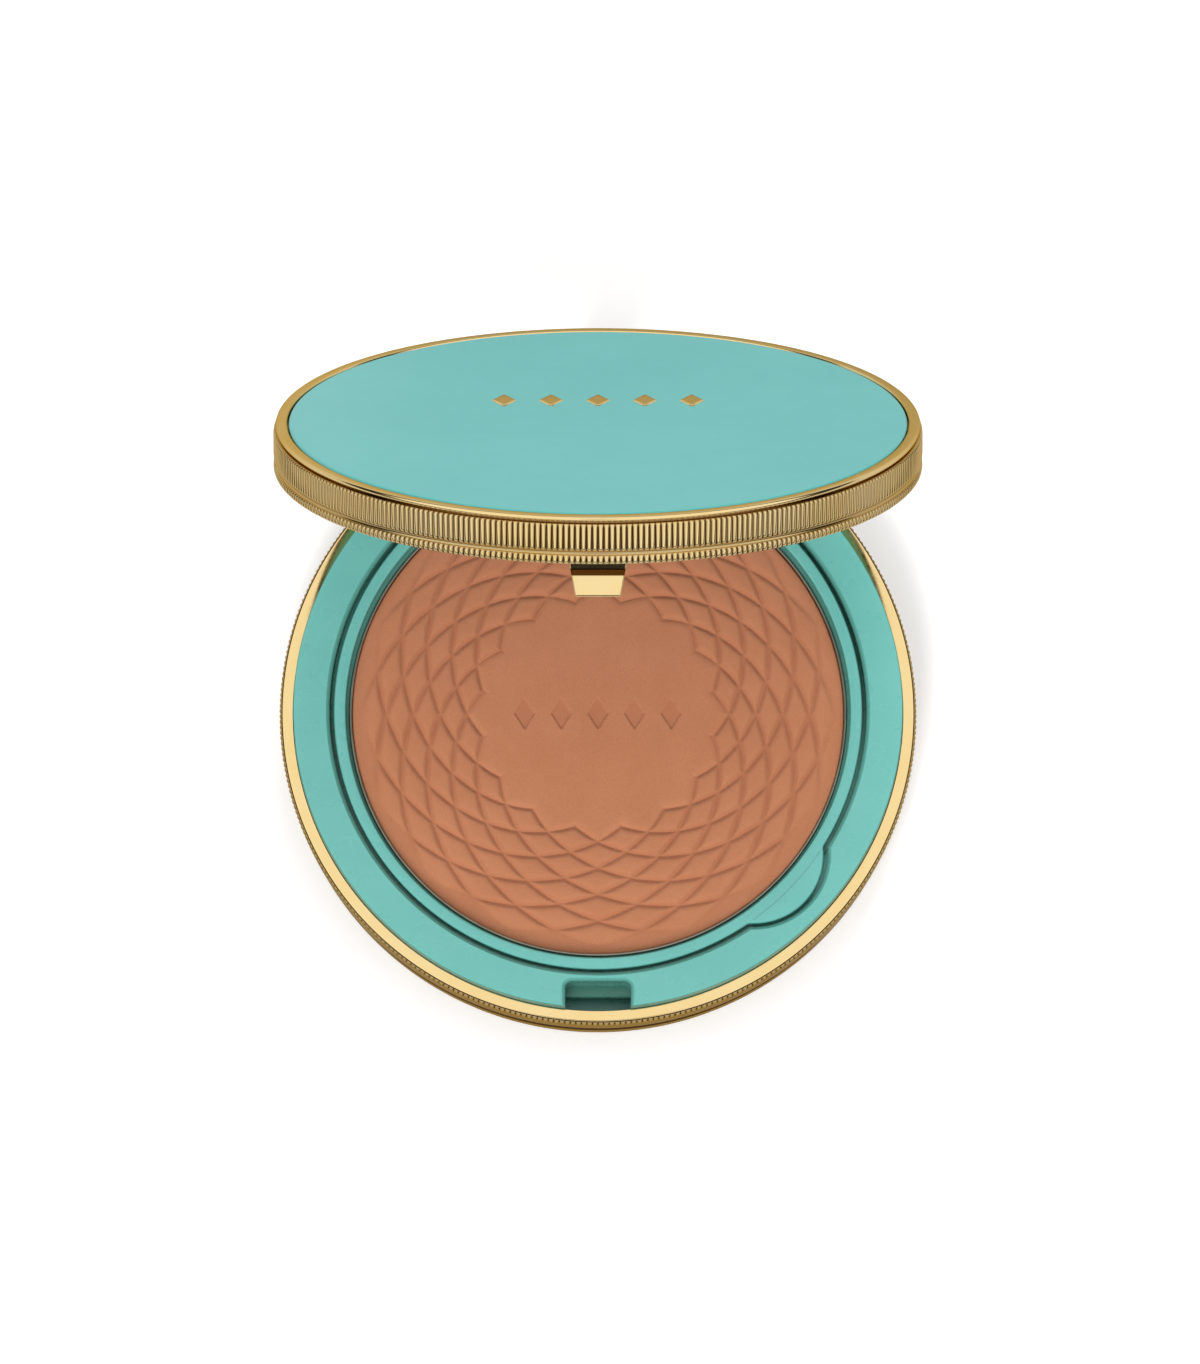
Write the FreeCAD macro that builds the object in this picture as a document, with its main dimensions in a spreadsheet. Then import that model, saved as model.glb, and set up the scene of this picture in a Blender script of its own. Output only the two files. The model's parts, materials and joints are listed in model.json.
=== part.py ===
import FreeCAD, Part
import math
import os

import Sketcher

# Powder compact, 80 mm across, lid held open. Millimetres, +Z up, the front towards -Y.
# The origin is the centre of the underside. Every piece is drawn with the lid closed, and
# the lid's pieces are then turned about the hinge axis to the open position.

DIMENSIONS = [
    # plan radii, from the outside inwards
    ("rim_radius", 40.0, "tips of the flutes on both rims"),
    ("top_face_radius", 39.6, "outer edge of the base rim's flat top"),
    ("foot_radius", 39.4, "foot bead of the base rim"),
    ("cove_radius", 39.45, "cove above the foot bead"),
    ("band_radius", 39.8, "plain band under the flutes"),
    ("rim_bore", 38.3, "inside of the base rim"),
    ("rim_flange_bore", 37.2, "ledge inside the base rim that carries the tray"),
    ("tray_radius", 38.25, "outside of the tray and its deck"),
    ("well_radius", 33.7, "round well in the deck for the refill"),
    ("lip_width", 0.45, "bevel round the well"),
    ("cassette_radius", 33.15, "outside of the refill cassette"),
    ("cassette_bore", 31.7, "inside of the refill cassette"),
    ("pan_radius", 31.25, "outside of the metal pan"),
    ("pan_wall", 0.35, "sheet thickness of the pan"),
    ("cake_gap", 0.05, "between the cake and the pan's wall"),
    ("pan_adhesive_radius", 30.5, "adhesive disc under the pan"),
    ("cover_radius", 38.2, "bottom cover"),
    ("cover_gap", 0.05, "between the bottom cover and the base rim"),
    ("weight_radius", 35.0, "steel weight plate"),
    ("label_radius", 17.0, "blank label under the base"),
    ("label_gap", 0.2, "round the label"),
    # heights of the base, from the underside
    ("rim_bottom", 0.2, "lowest edge of the base rim"),
    ("cover_top", 1.0, "top of the bottom cover"),
    ("ledge_bottom", 1.0, "underside of the ledge in the base rim"),
    ("ledge_top", 2.0, "top of the ledge, where the tray sits"),
    ("foot_top", 2.1, "top of the foot bead"),
    ("foot_round", 0.55, "rounding of the foot bead"),
    ("cove_step", 0.25, "the cove is set in by this much, with sloping sides"),
    ("cove_top", 5.2, "top of the cove"),
    ("band_top", 7.6, "top of the plain band"),
    ("flute_top", 8.4, "top of the base's flutes"),
    ("rim_top", 8.9, "flat top of the base rim"),
    ("deck_top", 10.6, "deck of the tray"),
    ("tray_floor", 3.0, "inside floor of the tray"),
    ("cassette_floor", 3.8, "inside floor of the cassette"),
    ("cassette_top", 9.9, "top of the cassette's ring"),
    ("cassette_round", 0.3, "rounding of the cassette's top edges"),
    ("pan_bottom", 4.0, "underside of the pan"),
    ("pan_top", 8.55, "rim of the pan"),
    ("cake_top", 8.2, "crest of the pressed powder"),
    ("weight_bottom", 1.05, "underside of the weight plate"),
    ("weight_top", 1.9, "top of the weight plate"),
    ("label_depth", 0.1, "label, let in flush with the underside"),
    # finger tab of the refill, an arc that bulges out of the well
    ("tab_bearing", -43.6, "direction of the tab from +X, in degrees"),
    ("tab_centre", 26.9, "distance of the tab's arc centre from the middle"),
    ("tab_well_arc", 9.3, "arc of the well round the tab"),
    ("tab_arc", 8.75, "arc of the tab itself"),
    ("tab_thickness", 1.6, "thickness of the tab"),
    ("tab_blend", 0.8, "rounding where the tab's arc meets the circle"),
    ("tab_clearance", 0.4, "between the tab and the floor of its bay"),
    # latch
    ("recess_width", 8.2, "width of the latch recess"),
    ("recess_inner", 34.75, "distance of the recess's inner wall from the middle"),
    ("recess_floor", 4.5, "floor of the latch recess"),
    ("recess_corner", 0.9, "upright corners of the recess"),
    ("hook_top_width", 7.1, "hook, where it leaves the lid"),
    ("hook_tip_width", 5.5, "hook, at its tip"),
    ("hook_front", 37.9, "front face of the hook"),
    ("hook_thickness", 1.2, "thickness of the hook"),
    ("hook_tip", 4.75, "lowest point of the closed hook"),
    ("hook_root", 12.8, "top of the hook, in the lid's tray"),
    ("barb_depth", 0.35, "barb on the back of the hook"),
    ("barb_height", 0.8, "height of the barb"),
    ("barb_inset", 0.3, "the barb stands in from the tip and the sides by this much"),
    ("slot_gap", 0.05, "round the hook in its slot"),
    ("catch_depth", 1.45, "how far the catch stands out of the inner wall"),
    ("catch_bottom", 6.15, "underside of the catch"),
    ("catch_top", 7.0, "top of the catch"),
    # heights of the closed lid
    ("lid_bottom", 9.55, "lower edge of the lid"),
    ("short_flute_top", 10.55, "top of the short flutes"),
    ("groove_top", 11.2, "top of the plain groove"),
    ("tall_flute_top", 14.0, "top of the tall flutes"),
    ("step_top", 14.35, "top of the dark step"),
    ("bead_top", 15.4, "top of the bead round the panel"),
    ("panel_floor", 14.4, "underside of the panel"),
    ("panel_edge", 15.4, "where the panel's rounded edge meets its dome"),
    ("panel_crown", 15.65, "crown of the panel"),
    ("web_top", 14.25, "web of the lid rim, under the panel"),
    ("web_bottom", 13.65, "underside of the web"),
    ("inner_floor", 12.9, "recess floor of the lid's inner tray"),
    ("inner_lip", 11.3, "lower face of the lid's inner tray"),
    ("mirror_back", 12.8, "back of the mirror"),
    ("mirror_face", 11.6, "face of the mirror"),
    # radii of the lid
    ("groove_radius", 39.5, "plain groove between the flutes"),
    ("step_radius", 39.3, "dark step over the tall flutes"),
    ("bead_radius", 39.7, "bead round the panel"),
    ("bead_round", 0.4, "rounding of that bead"),
    ("panel_bore", 38.25, "recess of the lid rim for the panel"),
    ("panel_radius", 38.15, "lacquered panel"),
    ("panel_rounding", 0.45, "rounded edge of the panel"),
    ("skirt_bore", 38.6, "inside of the lid rim"),
    ("web_bore", 32.0, "opening in the web of the lid rim"),
    ("inner_tray_radius", 38.5, "lid's inner tray"),
    ("mirror_seat", 33.6, "seat of the mirror"),
    ("mirror_radius", 33.4, "mirror"),
    ("mirror_bevel", 0.4, "ground bevel of the mirror"),
    ("adhesive_radius", 31.5, "adhesive disc behind the mirror"),
    ("ring_inner", 32.3, "adhesive ring under the panel, inside"),
    ("ring_outer", 37.45, "adhesive ring under the panel, outside"),
    # ornament on the lid
    ("lozenge_width", 3.0, "width of one lozenge"),
    ("lozenge_height", 5.0, "height of one lozenge"),
    ("lozenge_pitch", 5.8, "spacing of the lozenges"),
    ("lozenge_row", 7.5, "the row lies this far behind the middle"),
    ("lozenge_floor", 15.45, "underside of the inlaid lozenges"),
    ("lozenge_top", 15.75, "top of the inlaid lozenges"),
    # hinge
    ("axis_back", 42.1, "hinge axis behind the middle"),
    ("axis_height", 6.1, "hinge axis above the underside"),
    ("knuckle_radius", 1.7, "hinge knuckles"),
    ("pin_radius", 0.8, "hinge pin"),
    ("pin_clearance", 0.03, "running clearance round the pin"),
    ("pin_length", 16.6, "hinge pin"),
    ("pin_rounding", 0.25, "ends of the hinge pin"),
    ("hinge_width", 16.0, "base knuckles, over all"),
    ("hinge_gap", 8.2, "gap between the base knuckles"),
    ("lug_width", 7.6, "lid's knuckle"),
    ("lug_clearance", 0.35, "between the lug and the base rim"),
    ("bridge_bottom", 2.5, "underside of the bar that joins the base knuckles"),
    ("bridge_top", 3.6, "top of that bar"),
    ("bridge_bevel", 1.1, "bevel under the back of that bar"),
    ("seat_reach", 1.2, "hinge pieces are drawn this far into the rim, then hollowed to fit it"),
    ("bracket_top", 8.0, "top of the base knuckles' block"),
    ("lug_shoulder", 10.2, "where the lug steps in over the base rim"),
    ("lug_top", 13.8, "top of the lug on the lid rim"),
    ("lug_nose", 41.3, "outer face of the lug at its top"),
    ("lug_waist", 9.4, "height where the lug's slope begins"),
    ("washer_radius", 1.6, "friction washers"),
    ("washer_thickness", 0.24, "friction washers"),
    ("washer_clearance", 0.05, "round the pin in the washers"),
    ("open_angle", 58.7, "how far the lid stands open, in degrees"),
]

FULL_TURN = 360.0
MATCH = 0.02            # how closely an edge must match the place it is looked for

doc = FreeCAD.newDocument("powder_compact")
dims = doc.addObject("Spreadsheet::Sheet", "dims")
for row, (alias, size, note) in enumerate(DIMENSIONS, 1):
    dims.set(f"A{row}", alias)
    dims.set(f"B{row}", str(size))
    dims.set(f"C{row}", note)
    dims.setAlias(f"B{row}", alias)
doc.recompute()

base_pieces = []
lid_pieces = []


def size_of(alias):
    return float(dims.get(alias))


# ---------------------------------------------------------------- sketch helpers

def new_body(label):
    body = doc.addObject("PartDesign::Body", label)
    body.Label = label
    return body


def origin_plane(body, role):
    return next(item for item in body.Origin.OriginFeatures if item.Role == role)


def new_sketch(body, name, plane, offset=None):
    """An empty sketch on one of the body's origin planes, moved along its normal by a formula."""
    sketch = body.newObject("Sketcher::SketchObject", name)
    sketch.AttachmentSupport = [(origin_plane(body, plane), "")]
    sketch.MapMode = "FlatFace"
    if offset:
        sketch.setExpression("AttachmentOffset.Base.z", offset)
    return sketch


def pin_point(sketch, geometry, point, x_formula, y_formula):
    """Tie a point of the sketch to two formulas; None puts it on the sketch's own axis."""
    for kind, formula, axis in (("DistanceX", x_formula, -2), ("DistanceY", y_formula, -1)):
        if formula is None:
            sketch.addConstraint(Sketcher.Constraint("PointOnObject", geometry, point, axis))
            continue
        place = sketch.getPoint(geometry, point)
        start = place.x if kind == "DistanceX" else place.y
        number = sketch.addConstraint(Sketcher.Constraint(kind, geometry, point, start))
        sketch.setExpression(f"Constraints[{number}]", formula)


def outline(sketch, corners):
    """A closed outline of straight sides; each corner is a pair of formulas."""
    count = len(corners)
    turns = [2 * math.pi * (step + 0.3) / count for step in range(count)]
    starts = [FreeCAD.Vector(20 + 9 * math.cos(turn), 20 + 9 * math.sin(turn), 0) for turn in turns]
    for step in range(count):
        sketch.addGeometry(Part.LineSegment(starts[step], starts[(step + 1) % count]), False)
    for step in range(count):
        sketch.addConstraint(Sketcher.Constraint("Coincident", step, 2, (step + 1) % count, 1))
    for step, (x_formula, y_formula) in enumerate(corners):
        pin_point(sketch, step, 1, x_formula, y_formula)
    return sketch


def circle(sketch, x_formula, y_formula, radius_formula):
    centre = FreeCAD.Vector(5, 5, 0)
    number = sketch.addGeometry(Part.Circle(centre, FreeCAD.Vector(0, 0, 1), 3.0), False)
    pin_point(sketch, number, 3, x_formula, y_formula)
    radius = sketch.addConstraint(Sketcher.Constraint("Radius", number, 3.0))
    sketch.setExpression(f"Constraints[{radius}]", radius_formula)
    return sketch


# ---------------------------------------------------------------- feature helpers

def revolve(body, corners):
    """Turn an outline of (radius, height) formulas about the Z axis."""
    sketch = outline(new_sketch(body, "section", "XZ_Plane"), corners)
    turned = body.newObject("PartDesign::Revolution", "turned")
    turned.Profile = sketch
    turned.ReferenceAxis = (sketch, ["V_Axis"])
    turned.Angle = FULL_TURN
    doc.recompute()
    return turned


def pad(body, sketch, length, both_sides=False, name="pad"):
    feature = body.newObject("PartDesign::Pad", name)
    feature.Profile = sketch
    feature.setExpression("Length", length)
    feature.Midplane = both_sides
    doc.recompute()
    return feature


def pocket(body, sketch, length=None, name="pocket", both_sides=False, upwards=False):
    """Cut down from the sketch by a formula, or right through both ways; it has to remove something."""
    before = body.Shape.Volume
    feature = body.newObject("PartDesign::Pocket", name)
    feature.Profile = sketch
    if length:
        feature.setExpression("Length", length)
        feature.Midplane = both_sides
        feature.Reversed = upwards
    else:
        feature.Type = "ThroughAll"
        feature.Midplane = True
    doc.recompute()
    if not body.Shape.Volume < before:
        raise RuntimeError(f"{body.Label}: {name} cut nothing")
    return feature


def rim_edges(shape, radius, height):
    """Names of the circular edges about Z with this radius and height."""
    found = []
    for number, edge in enumerate(shape.Edges, 1):
        if edge.Degenerated or not isinstance(edge.Curve, Part.Circle):
            continue
        curve = edge.Curve
        if abs(abs(curve.Axis.z) - 1) > MATCH:
            continue
        off_axis = math.hypot(curve.Center.x, curve.Center.y)
        if off_axis < MATCH and abs(curve.Radius - radius) < MATCH and abs(curve.Center.z - height) < MATCH:
            found.append(f"Edge{number}")
    return found


def dress(body, kind, edges, formula, name):
    """Round (Fillet) or bevel (Chamfer) named edges of the body's last feature."""
    if not edges:
        raise RuntimeError(f"{body.Label}: {name} found no edge")
    base = body.Tip
    feature = body.newObject(f"PartDesign::{kind}", name)
    feature.Base = (base, edges)
    feature.setExpression("Radius" if kind == "Fillet" else "Size", formula)
    doc.recompute()
    return feature


def dress_rims(body, kind, places, formula, name):
    edges = [edge for radius, height in places for edge in rim_edges(body.Shape, radius, height)]
    return dress(body, kind, edges, formula, name)


def turned_piece(label, corners, pieces):
    body = new_body(label)
    revolve(body, corners)
    pieces.append(body)
    return body


def disc(label, radius, bottom, top, pieces):
    corners = [(None, bottom), (radius, bottom), (radius, top), (None, top)]
    return turned_piece(label, corners, pieces)


# ---------------------------------------------------------------- base: rim and tray

def make_base_rim():
    ring = turned_piece("base_rim_ring", [
        ("dims.cover_radius + dims.cover_gap", "dims.rim_bottom"),
        ("dims.foot_radius", "dims.rim_bottom"),
        ("dims.foot_radius", "dims.foot_top"),
        ("dims.cove_radius - dims.cove_step", "dims.foot_top + dims.cove_step"),
        ("dims.cove_radius - dims.cove_step", "dims.cove_top - dims.cove_step"),
        ("dims.band_radius", "dims.cove_top"),
        ("dims.band_radius", "dims.band_top"),
        ("dims.rim_radius", "dims.band_top"),
        ("dims.rim_radius", "dims.flute_top"),
        ("dims.top_face_radius", "dims.rim_top"),
        ("dims.rim_bore", "dims.rim_top"),
        ("dims.rim_bore", "dims.ledge_top"),
        ("dims.rim_flange_bore", "dims.ledge_top"),
        ("dims.rim_flange_bore", "dims.ledge_bottom"),
        ("dims.cover_radius + dims.cover_gap", "dims.ledge_bottom"),
    ], base_pieces)
    foot = size_of("foot_radius")
    places = [(foot, size_of("rim_bottom")), (foot, size_of("foot_top"))]
    dress_rims(ring, "Fillet", places, "dims.foot_round", "foot_bead")


def tab_point(distance_formula, sine):
    """One coordinate of a point at a distance along the tab's bearing."""
    turn = "sin" if sine else "cos"
    return f"({distance_formula}) * {turn}(dims.tab_bearing * 1deg)"


def tab_circle(sketch, radius_formula):
    return circle(sketch, tab_point("dims.tab_centre", False), tab_point("dims.tab_centre", True),
                  radius_formula)


def upright_edges(shape, reach, least):
    """Straight upright edges of at least this length whose distance from Z is within reach."""
    found = []
    for number, edge in enumerate(shape.Edges, 1):
        if not isinstance(edge.Curve, Part.Line) or edge.Length < least:
            continue
        first, last = edge.Vertexes[0].Point, edge.Vertexes[-1].Point
        away = math.hypot(first.x, first.y)
        if math.hypot(first.x - last.x, first.y - last.y) < MATCH and reach[0] < away < reach[1]:
            found.append(f"Edge{number}")
    return found


def make_tray():
    tray = turned_piece("base_tray", [
        (None, "dims.ledge_top"),
        ("dims.tray_radius", "dims.ledge_top"),
        ("dims.tray_radius", "dims.deck_top"),
        ("dims.well_radius", "dims.deck_top"),
        ("dims.well_radius", "dims.tray_floor"),
        (None, "dims.tray_floor"),
    ], base_pieces)
    well = tab_circle(new_sketch(tray, "tab_well_sketch", "XY_Plane", "dims.deck_top"),
                      "dims.tab_well_arc")
    bay_depth = "dims.deck_top - dims.cassette_top + dims.tab_thickness + dims.tab_clearance"
    pocket(tray, well, bay_depth, "tab_well")
    blends = upright_edges(tray.Shape, (size_of("well_radius") - 0.1, size_of("well_radius") + 0.1), 1.0)
    dress(tray, "Fillet", blends, "dims.tab_blend", "tab_well_blend")

    # the recess is open towards the base rim, so its outline runs past the tray's edge
    half = "dims.recess_width / 2"
    recess = outline(new_sketch(tray, "recess_sketch", "XY_Plane", "dims.deck_top"), [
        (f"-{half}", "-dims.recess_inner"),
        (f"-{half}", "-dims.rim_radius"),
        (half, "-dims.rim_radius"),
        (half, "-dims.recess_inner"),
    ])
    pocket(tray, recess, "dims.deck_top - dims.recess_floor", "latch_recess")
    corner = math.hypot(size_of("recess_width") / 2, size_of("recess_inner"))
    corners = upright_edges(tray.Shape, (corner - 0.1, corner + 0.1), 3.0)
    dress(tray, "Fillet", corners, "dims.recess_corner", "recess_corners")

    # every top edge of the well and of the recess lies in the deck's plane
    deck = size_of("deck_top")
    outer = size_of("tray_radius")
    mouth = []
    for number, edge in enumerate(tray.Shape.Edges, 1):
        box = edge.BoundBox
        if box.ZMin < deck - MATCH:
            continue
        middle = edge.valueAt((edge.FirstParameter + edge.LastParameter) / 2)
        if math.hypot(middle.x, middle.y) < outer - 0.05:
            mouth.append(f"Edge{number}")
    dress(tray, "Chamfer", mouth, "dims.lip_width", "mouth_bevel")


def make_cassette():
    cassette = turned_piece("refill_cassette", [
        (None, "dims.tray_floor"),
        ("dims.cassette_radius", "dims.tray_floor"),
        ("dims.cassette_radius", "dims.cassette_top"),
        ("dims.cassette_bore", "dims.cassette_top"),
        ("dims.cassette_bore", "dims.cassette_floor"),
        (None, "dims.cassette_floor"),
    ], base_pieces)
    tab = new_sketch(cassette, "tab_sketch", "XY_Plane", "dims.cassette_top - dims.tab_thickness")
    tab_circle(tab, "dims.tab_arc")
    pad(cassette, tab, "dims.tab_thickness", name="finger_tab")
    bore = circle(new_sketch(cassette, "bore_sketch", "XY_Plane", "dims.cassette_top"), None, None,
                  "dims.cassette_bore")
    pocket(cassette, bore, "dims.cassette_top - dims.cassette_floor", "bore")
    reach = size_of("cassette_radius")
    blends = upright_edges(cassette.Shape, (reach - 0.1, reach + 0.1), 1.0)
    dress(cassette, "Fillet", blends, "dims.tab_blend", "tab_blend")
    top = size_of("cassette_top")
    rims = []
    for number, edge in enumerate(cassette.Shape.Edges, 1):
        if edge.BoundBox.ZMin > top - MATCH:
            rims.append(f"Edge{number}")
    dress(cassette, "Fillet", rims, "dims.cassette_round", "soft_rim")


def make_underside():
    turned_piece("base_bottom_cover", [
        (None, "dims.label_depth"),
        ("dims.label_radius + dims.label_gap", "dims.label_depth"),
        ("dims.label_radius + dims.label_gap", None),
        ("dims.cover_radius", None),
        ("dims.cover_radius", "dims.cover_top"),
        (None, "dims.cover_top"),
    ], base_pieces)
    disc("base_label", "dims.label_radius", None, "dims.label_depth", base_pieces)


# ---------------------------------------------------------------- base: refill and inner pieces

def make_refill():
    turned_piece("powder_pan", [
        (None, "dims.pan_bottom"),
        ("dims.pan_radius", "dims.pan_bottom"),
        ("dims.pan_radius", "dims.pan_top"),
        ("dims.pan_radius - dims.pan_wall", "dims.pan_top"),
        ("dims.pan_radius - dims.pan_wall", "dims.pan_bottom + dims.pan_wall"),
        (None, "dims.pan_bottom + dims.pan_wall"),
    ], base_pieces)
    cake_radius = "dims.pan_radius - dims.pan_wall - dims.cake_gap"
    disc("pressed_powder", cake_radius, "dims.pan_bottom + dims.pan_wall", "dims.cake_top", base_pieces)
    disc("pan_adhesive", "dims.pan_adhesive_radius", "dims.cassette_floor", "dims.pan_bottom",
         base_pieces)
    disc("base_weight_plate", "dims.weight_radius", "dims.weight_bottom", "dims.weight_top",
         base_pieces)


# ---------------------------------------------------------------- latch

def box_outline(sketch, half_width, low, high):
    """A rectangle centred on the sketch's upright axis."""
    return outline(sketch, [(f"-({half_width})", low), (half_width, low),
                            (half_width, high), (f"-({half_width})", high)])


def make_latch_catch():
    """A ledge across the whole recess, rounded to fit its inner corners."""
    catch = new_body("latch_catch")
    sketch = new_sketch(catch, "ledge_sketch", "XY_Plane", "dims.catch_bottom")
    box_outline(sketch, "dims.recess_width / 2", "-dims.recess_inner - dims.catch_depth",
                "-dims.recess_inner")
    pad(catch, sketch, "dims.catch_top - dims.catch_bottom", name="ledge")
    corner = math.hypot(size_of("recess_width") / 2, size_of("recess_inner"))
    corners = upright_edges(catch.Shape, (corner - 0.1, corner + 0.1), 0.5)
    dress(catch, "Fillet", corners, "dims.recess_corner", "ledge_corners")
    base_pieces.append(catch)


def make_latch_hook():
    hook = new_body("latch_hook")
    back = "dims.hook_front - dims.hook_thickness"
    blade = outline(new_sketch(hook, "blade_sketch", "XZ_Plane", back), [
        ("-dims.hook_top_width / 2", "dims.hook_root"),
        ("-dims.hook_top_width / 2", "dims.lid_bottom"),
        ("-dims.hook_tip_width / 2", "dims.hook_tip"),
        ("dims.hook_tip_width / 2", "dims.hook_tip"),
        ("dims.hook_top_width / 2", "dims.lid_bottom"),
        ("dims.hook_top_width / 2", "dims.hook_root"),
    ])
    pad(hook, blade, "dims.hook_thickness", name="blade")
    barb = new_sketch(hook, "barb_sketch", "XZ_Plane", f"{back} - dims.barb_depth")
    box_outline(barb, "dims.hook_tip_width / 2 - dims.barb_inset", "dims.hook_tip + dims.barb_inset",
                "dims.hook_tip + dims.barb_inset + dims.barb_height")
    pad(hook, barb, "dims.barb_depth", name="barb")
    lid_pieces.append(hook)


# ---------------------------------------------------------------- hinge

def axis_circle(body, name, radius):
    return circle(new_sketch(body, name, "YZ_Plane"), "dims.axis_back", "dims.axis_height", radius)


def fit_to_rim(body):
    """Hollow the piece to the round of the rims, so that it seats face to face."""
    round_rim = circle(new_sketch(body, "rim_sketch", "XY_Plane"), None, None, "dims.rim_radius")
    pocket(body, round_rim, name="rim_seat")


def make_base_bracket():
    bracket = new_body("base_hinge_bracket")
    back = "dims.axis_back + dims.knuckle_radius"
    block = outline(new_sketch(bracket, "block_sketch", "YZ_Plane"), [
        ("dims.rim_radius - dims.seat_reach", "dims.bridge_bottom"),
        (f"{back} - dims.bridge_bevel", "dims.bridge_bottom"),
        (back, "dims.bridge_bottom + dims.bridge_bevel"),
        (back, "dims.axis_height"),
        ("dims.axis_back", "dims.bracket_top"),
        ("dims.rim_radius - dims.seat_reach", "dims.bracket_top"),
    ])
    pad(bracket, block, "dims.hinge_width", both_sides=True, name="block")
    barrel = axis_circle(bracket, "barrel_sketch", "dims.knuckle_radius")
    pad(bracket, barrel, "dims.hinge_width", both_sides=True, name="barrel")
    gap = outline(new_sketch(bracket, "gap_sketch", "YZ_Plane"), [
        ("dims.rim_radius - 2 * dims.seat_reach", "dims.bridge_top"),
        (f"{back} + dims.seat_reach", "dims.bridge_top"),
        (f"{back} + dims.seat_reach", "dims.lid_bottom"),
        ("dims.rim_radius - 2 * dims.seat_reach", "dims.lid_bottom"),
    ])
    pocket(bracket, gap, "dims.hinge_gap", name="knuckle_gap", both_sides=True)
    fit_to_rim(bracket)
    pocket(bracket, axis_circle(bracket, "bore_sketch", "dims.pin_radius"), name="pin_bore")
    base_pieces.append(bracket)


def make_lid_lug():
    lug = new_body("lid_hinge_lug")
    back = "dims.axis_back + dims.knuckle_radius"
    arm = outline(new_sketch(lug, "arm_sketch", "YZ_Plane"), [
        ("dims.rim_radius + dims.lug_clearance", "dims.axis_height"),
        (back, "dims.axis_height"),
        (back, "dims.lug_waist"),
        ("dims.lug_nose", "dims.lug_top"),
        ("dims.rim_radius - dims.seat_reach", "dims.lug_top"),
        ("dims.rim_radius - dims.seat_reach", "dims.lug_shoulder"),
        ("dims.rim_radius + dims.lug_clearance", "dims.lug_shoulder"),
    ])
    pad(lug, arm, "dims.lug_width", both_sides=True, name="arm")
    barrel = axis_circle(lug, "barrel_sketch", "dims.knuckle_radius")
    pad(lug, barrel, "dims.lug_width", both_sides=True, name="barrel")
    fit_to_rim(lug)
    bore = axis_circle(lug, "bore_sketch", "dims.pin_radius + dims.pin_clearance")
    pocket(lug, bore, name="pin_bore")
    lid_pieces.append(lug)


def make_hinge_pin():
    pin = new_body("hinge_pin")
    pad(pin, axis_circle(pin, "pin_sketch", "dims.pin_radius"), "dims.pin_length", both_sides=True)
    ends = [f"Edge{number}" for number, edge in enumerate(pin.Shape.Edges, 1)
            if isinstance(edge.Curve, Part.Circle)]
    dress(pin, "Fillet", ends, "dims.pin_rounding", "rounded_ends")
    base_pieces.append(pin)


def make_washers():
    """Two thin spring washers, one on each side of the lug, that hold the lid where it is left."""
    washers = doc.addObject("Part::Compound", "hinge_washers")
    washers.Label = "hinge_washers"
    across = FreeCAD.Rotation(FreeCAD.Vector(0, 1, 0), 90)
    for side in (-1, 1):
        rounds = []
        eye = "dims.pin_radius + dims.washer_clearance"
        for name, radius in (("disc", "dims.washer_radius"), ("eye", eye)):
            solid = doc.addObject("Part::Cylinder", f"washer_{name}")
            solid.setExpression("Radius", radius)
            solid.setExpression("Height", "dims.washer_thickness")
            solid.Placement = FreeCAD.Placement(FreeCAD.Vector(0, 0, 0), across)
            solid.setExpression("Placement.Base.x", f"{side} * (dims.lug_width + dims.hinge_gap) / 4"
                                                    " - dims.washer_thickness / 2")
            solid.setExpression("Placement.Base.y", "dims.axis_back")
            solid.setExpression("Placement.Base.z", "dims.axis_height")
            rounds.append(solid)
        washer = doc.addObject("Part::Cut", "washer")
        washer.Base, washer.Tool = rounds
        washers.Links = washers.Links + [washer]
    doc.recompute()
    base_pieces.append(washers)


# ---------------------------------------------------------------- lid

def make_lid_rim():
    ring = turned_piece("lid_rim_ring", [
        ("dims.rim_radius", "dims.lid_bottom"),
        ("dims.rim_radius", "dims.short_flute_top"),
        ("dims.groove_radius", "dims.short_flute_top"),
        ("dims.groove_radius", "dims.groove_top"),
        ("dims.rim_radius", "dims.groove_top"),
        ("dims.rim_radius", "dims.tall_flute_top"),
        ("dims.step_radius", "dims.tall_flute_top"),
        ("dims.step_radius", "dims.step_top"),
        ("dims.bead_radius", "dims.step_top"),
        ("dims.bead_radius", "dims.bead_top"),
        ("dims.panel_bore", "dims.bead_top"),
        ("dims.panel_bore", "dims.web_top"),
        ("dims.web_bore", "dims.web_top"),
        ("dims.web_bore", "dims.web_bottom"),
        ("dims.skirt_bore", "dims.web_bottom"),
        ("dims.skirt_bore", "dims.lid_bottom"),
    ], lid_pieces)
    bead = [(size_of("bead_radius"), size_of("bead_top"))]
    dress_rims(ring, "Fillet", bead, "dims.bead_round", "bead_round")


def lozenge(body, level):
    """The first lozenge of the row, drawn at its left end."""
    middle = "2 * dims.lozenge_pitch"
    return outline(new_sketch(body, "lozenge_sketch", "XY_Plane", level), [
        (f"-({middle} + dims.lozenge_width / 2)", "dims.lozenge_row"),
        (f"-({middle})", "dims.lozenge_row - dims.lozenge_height / 2"),
        (f"-({middle} - dims.lozenge_width / 2)", "dims.lozenge_row"),
        (f"-({middle})", "dims.lozenge_row + dims.lozenge_height / 2"),
    ])


def repeat_in_row(body, feature, sketch):
    row = body.newObject("PartDesign::LinearPattern", "row")
    row.Originals = [feature]
    row.Direction = (sketch, ["H_Axis"])
    row.setExpression("Length", "4 * dims.lozenge_pitch")
    row.Occurrences = 5
    body.Tip = row
    doc.recompute()


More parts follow.
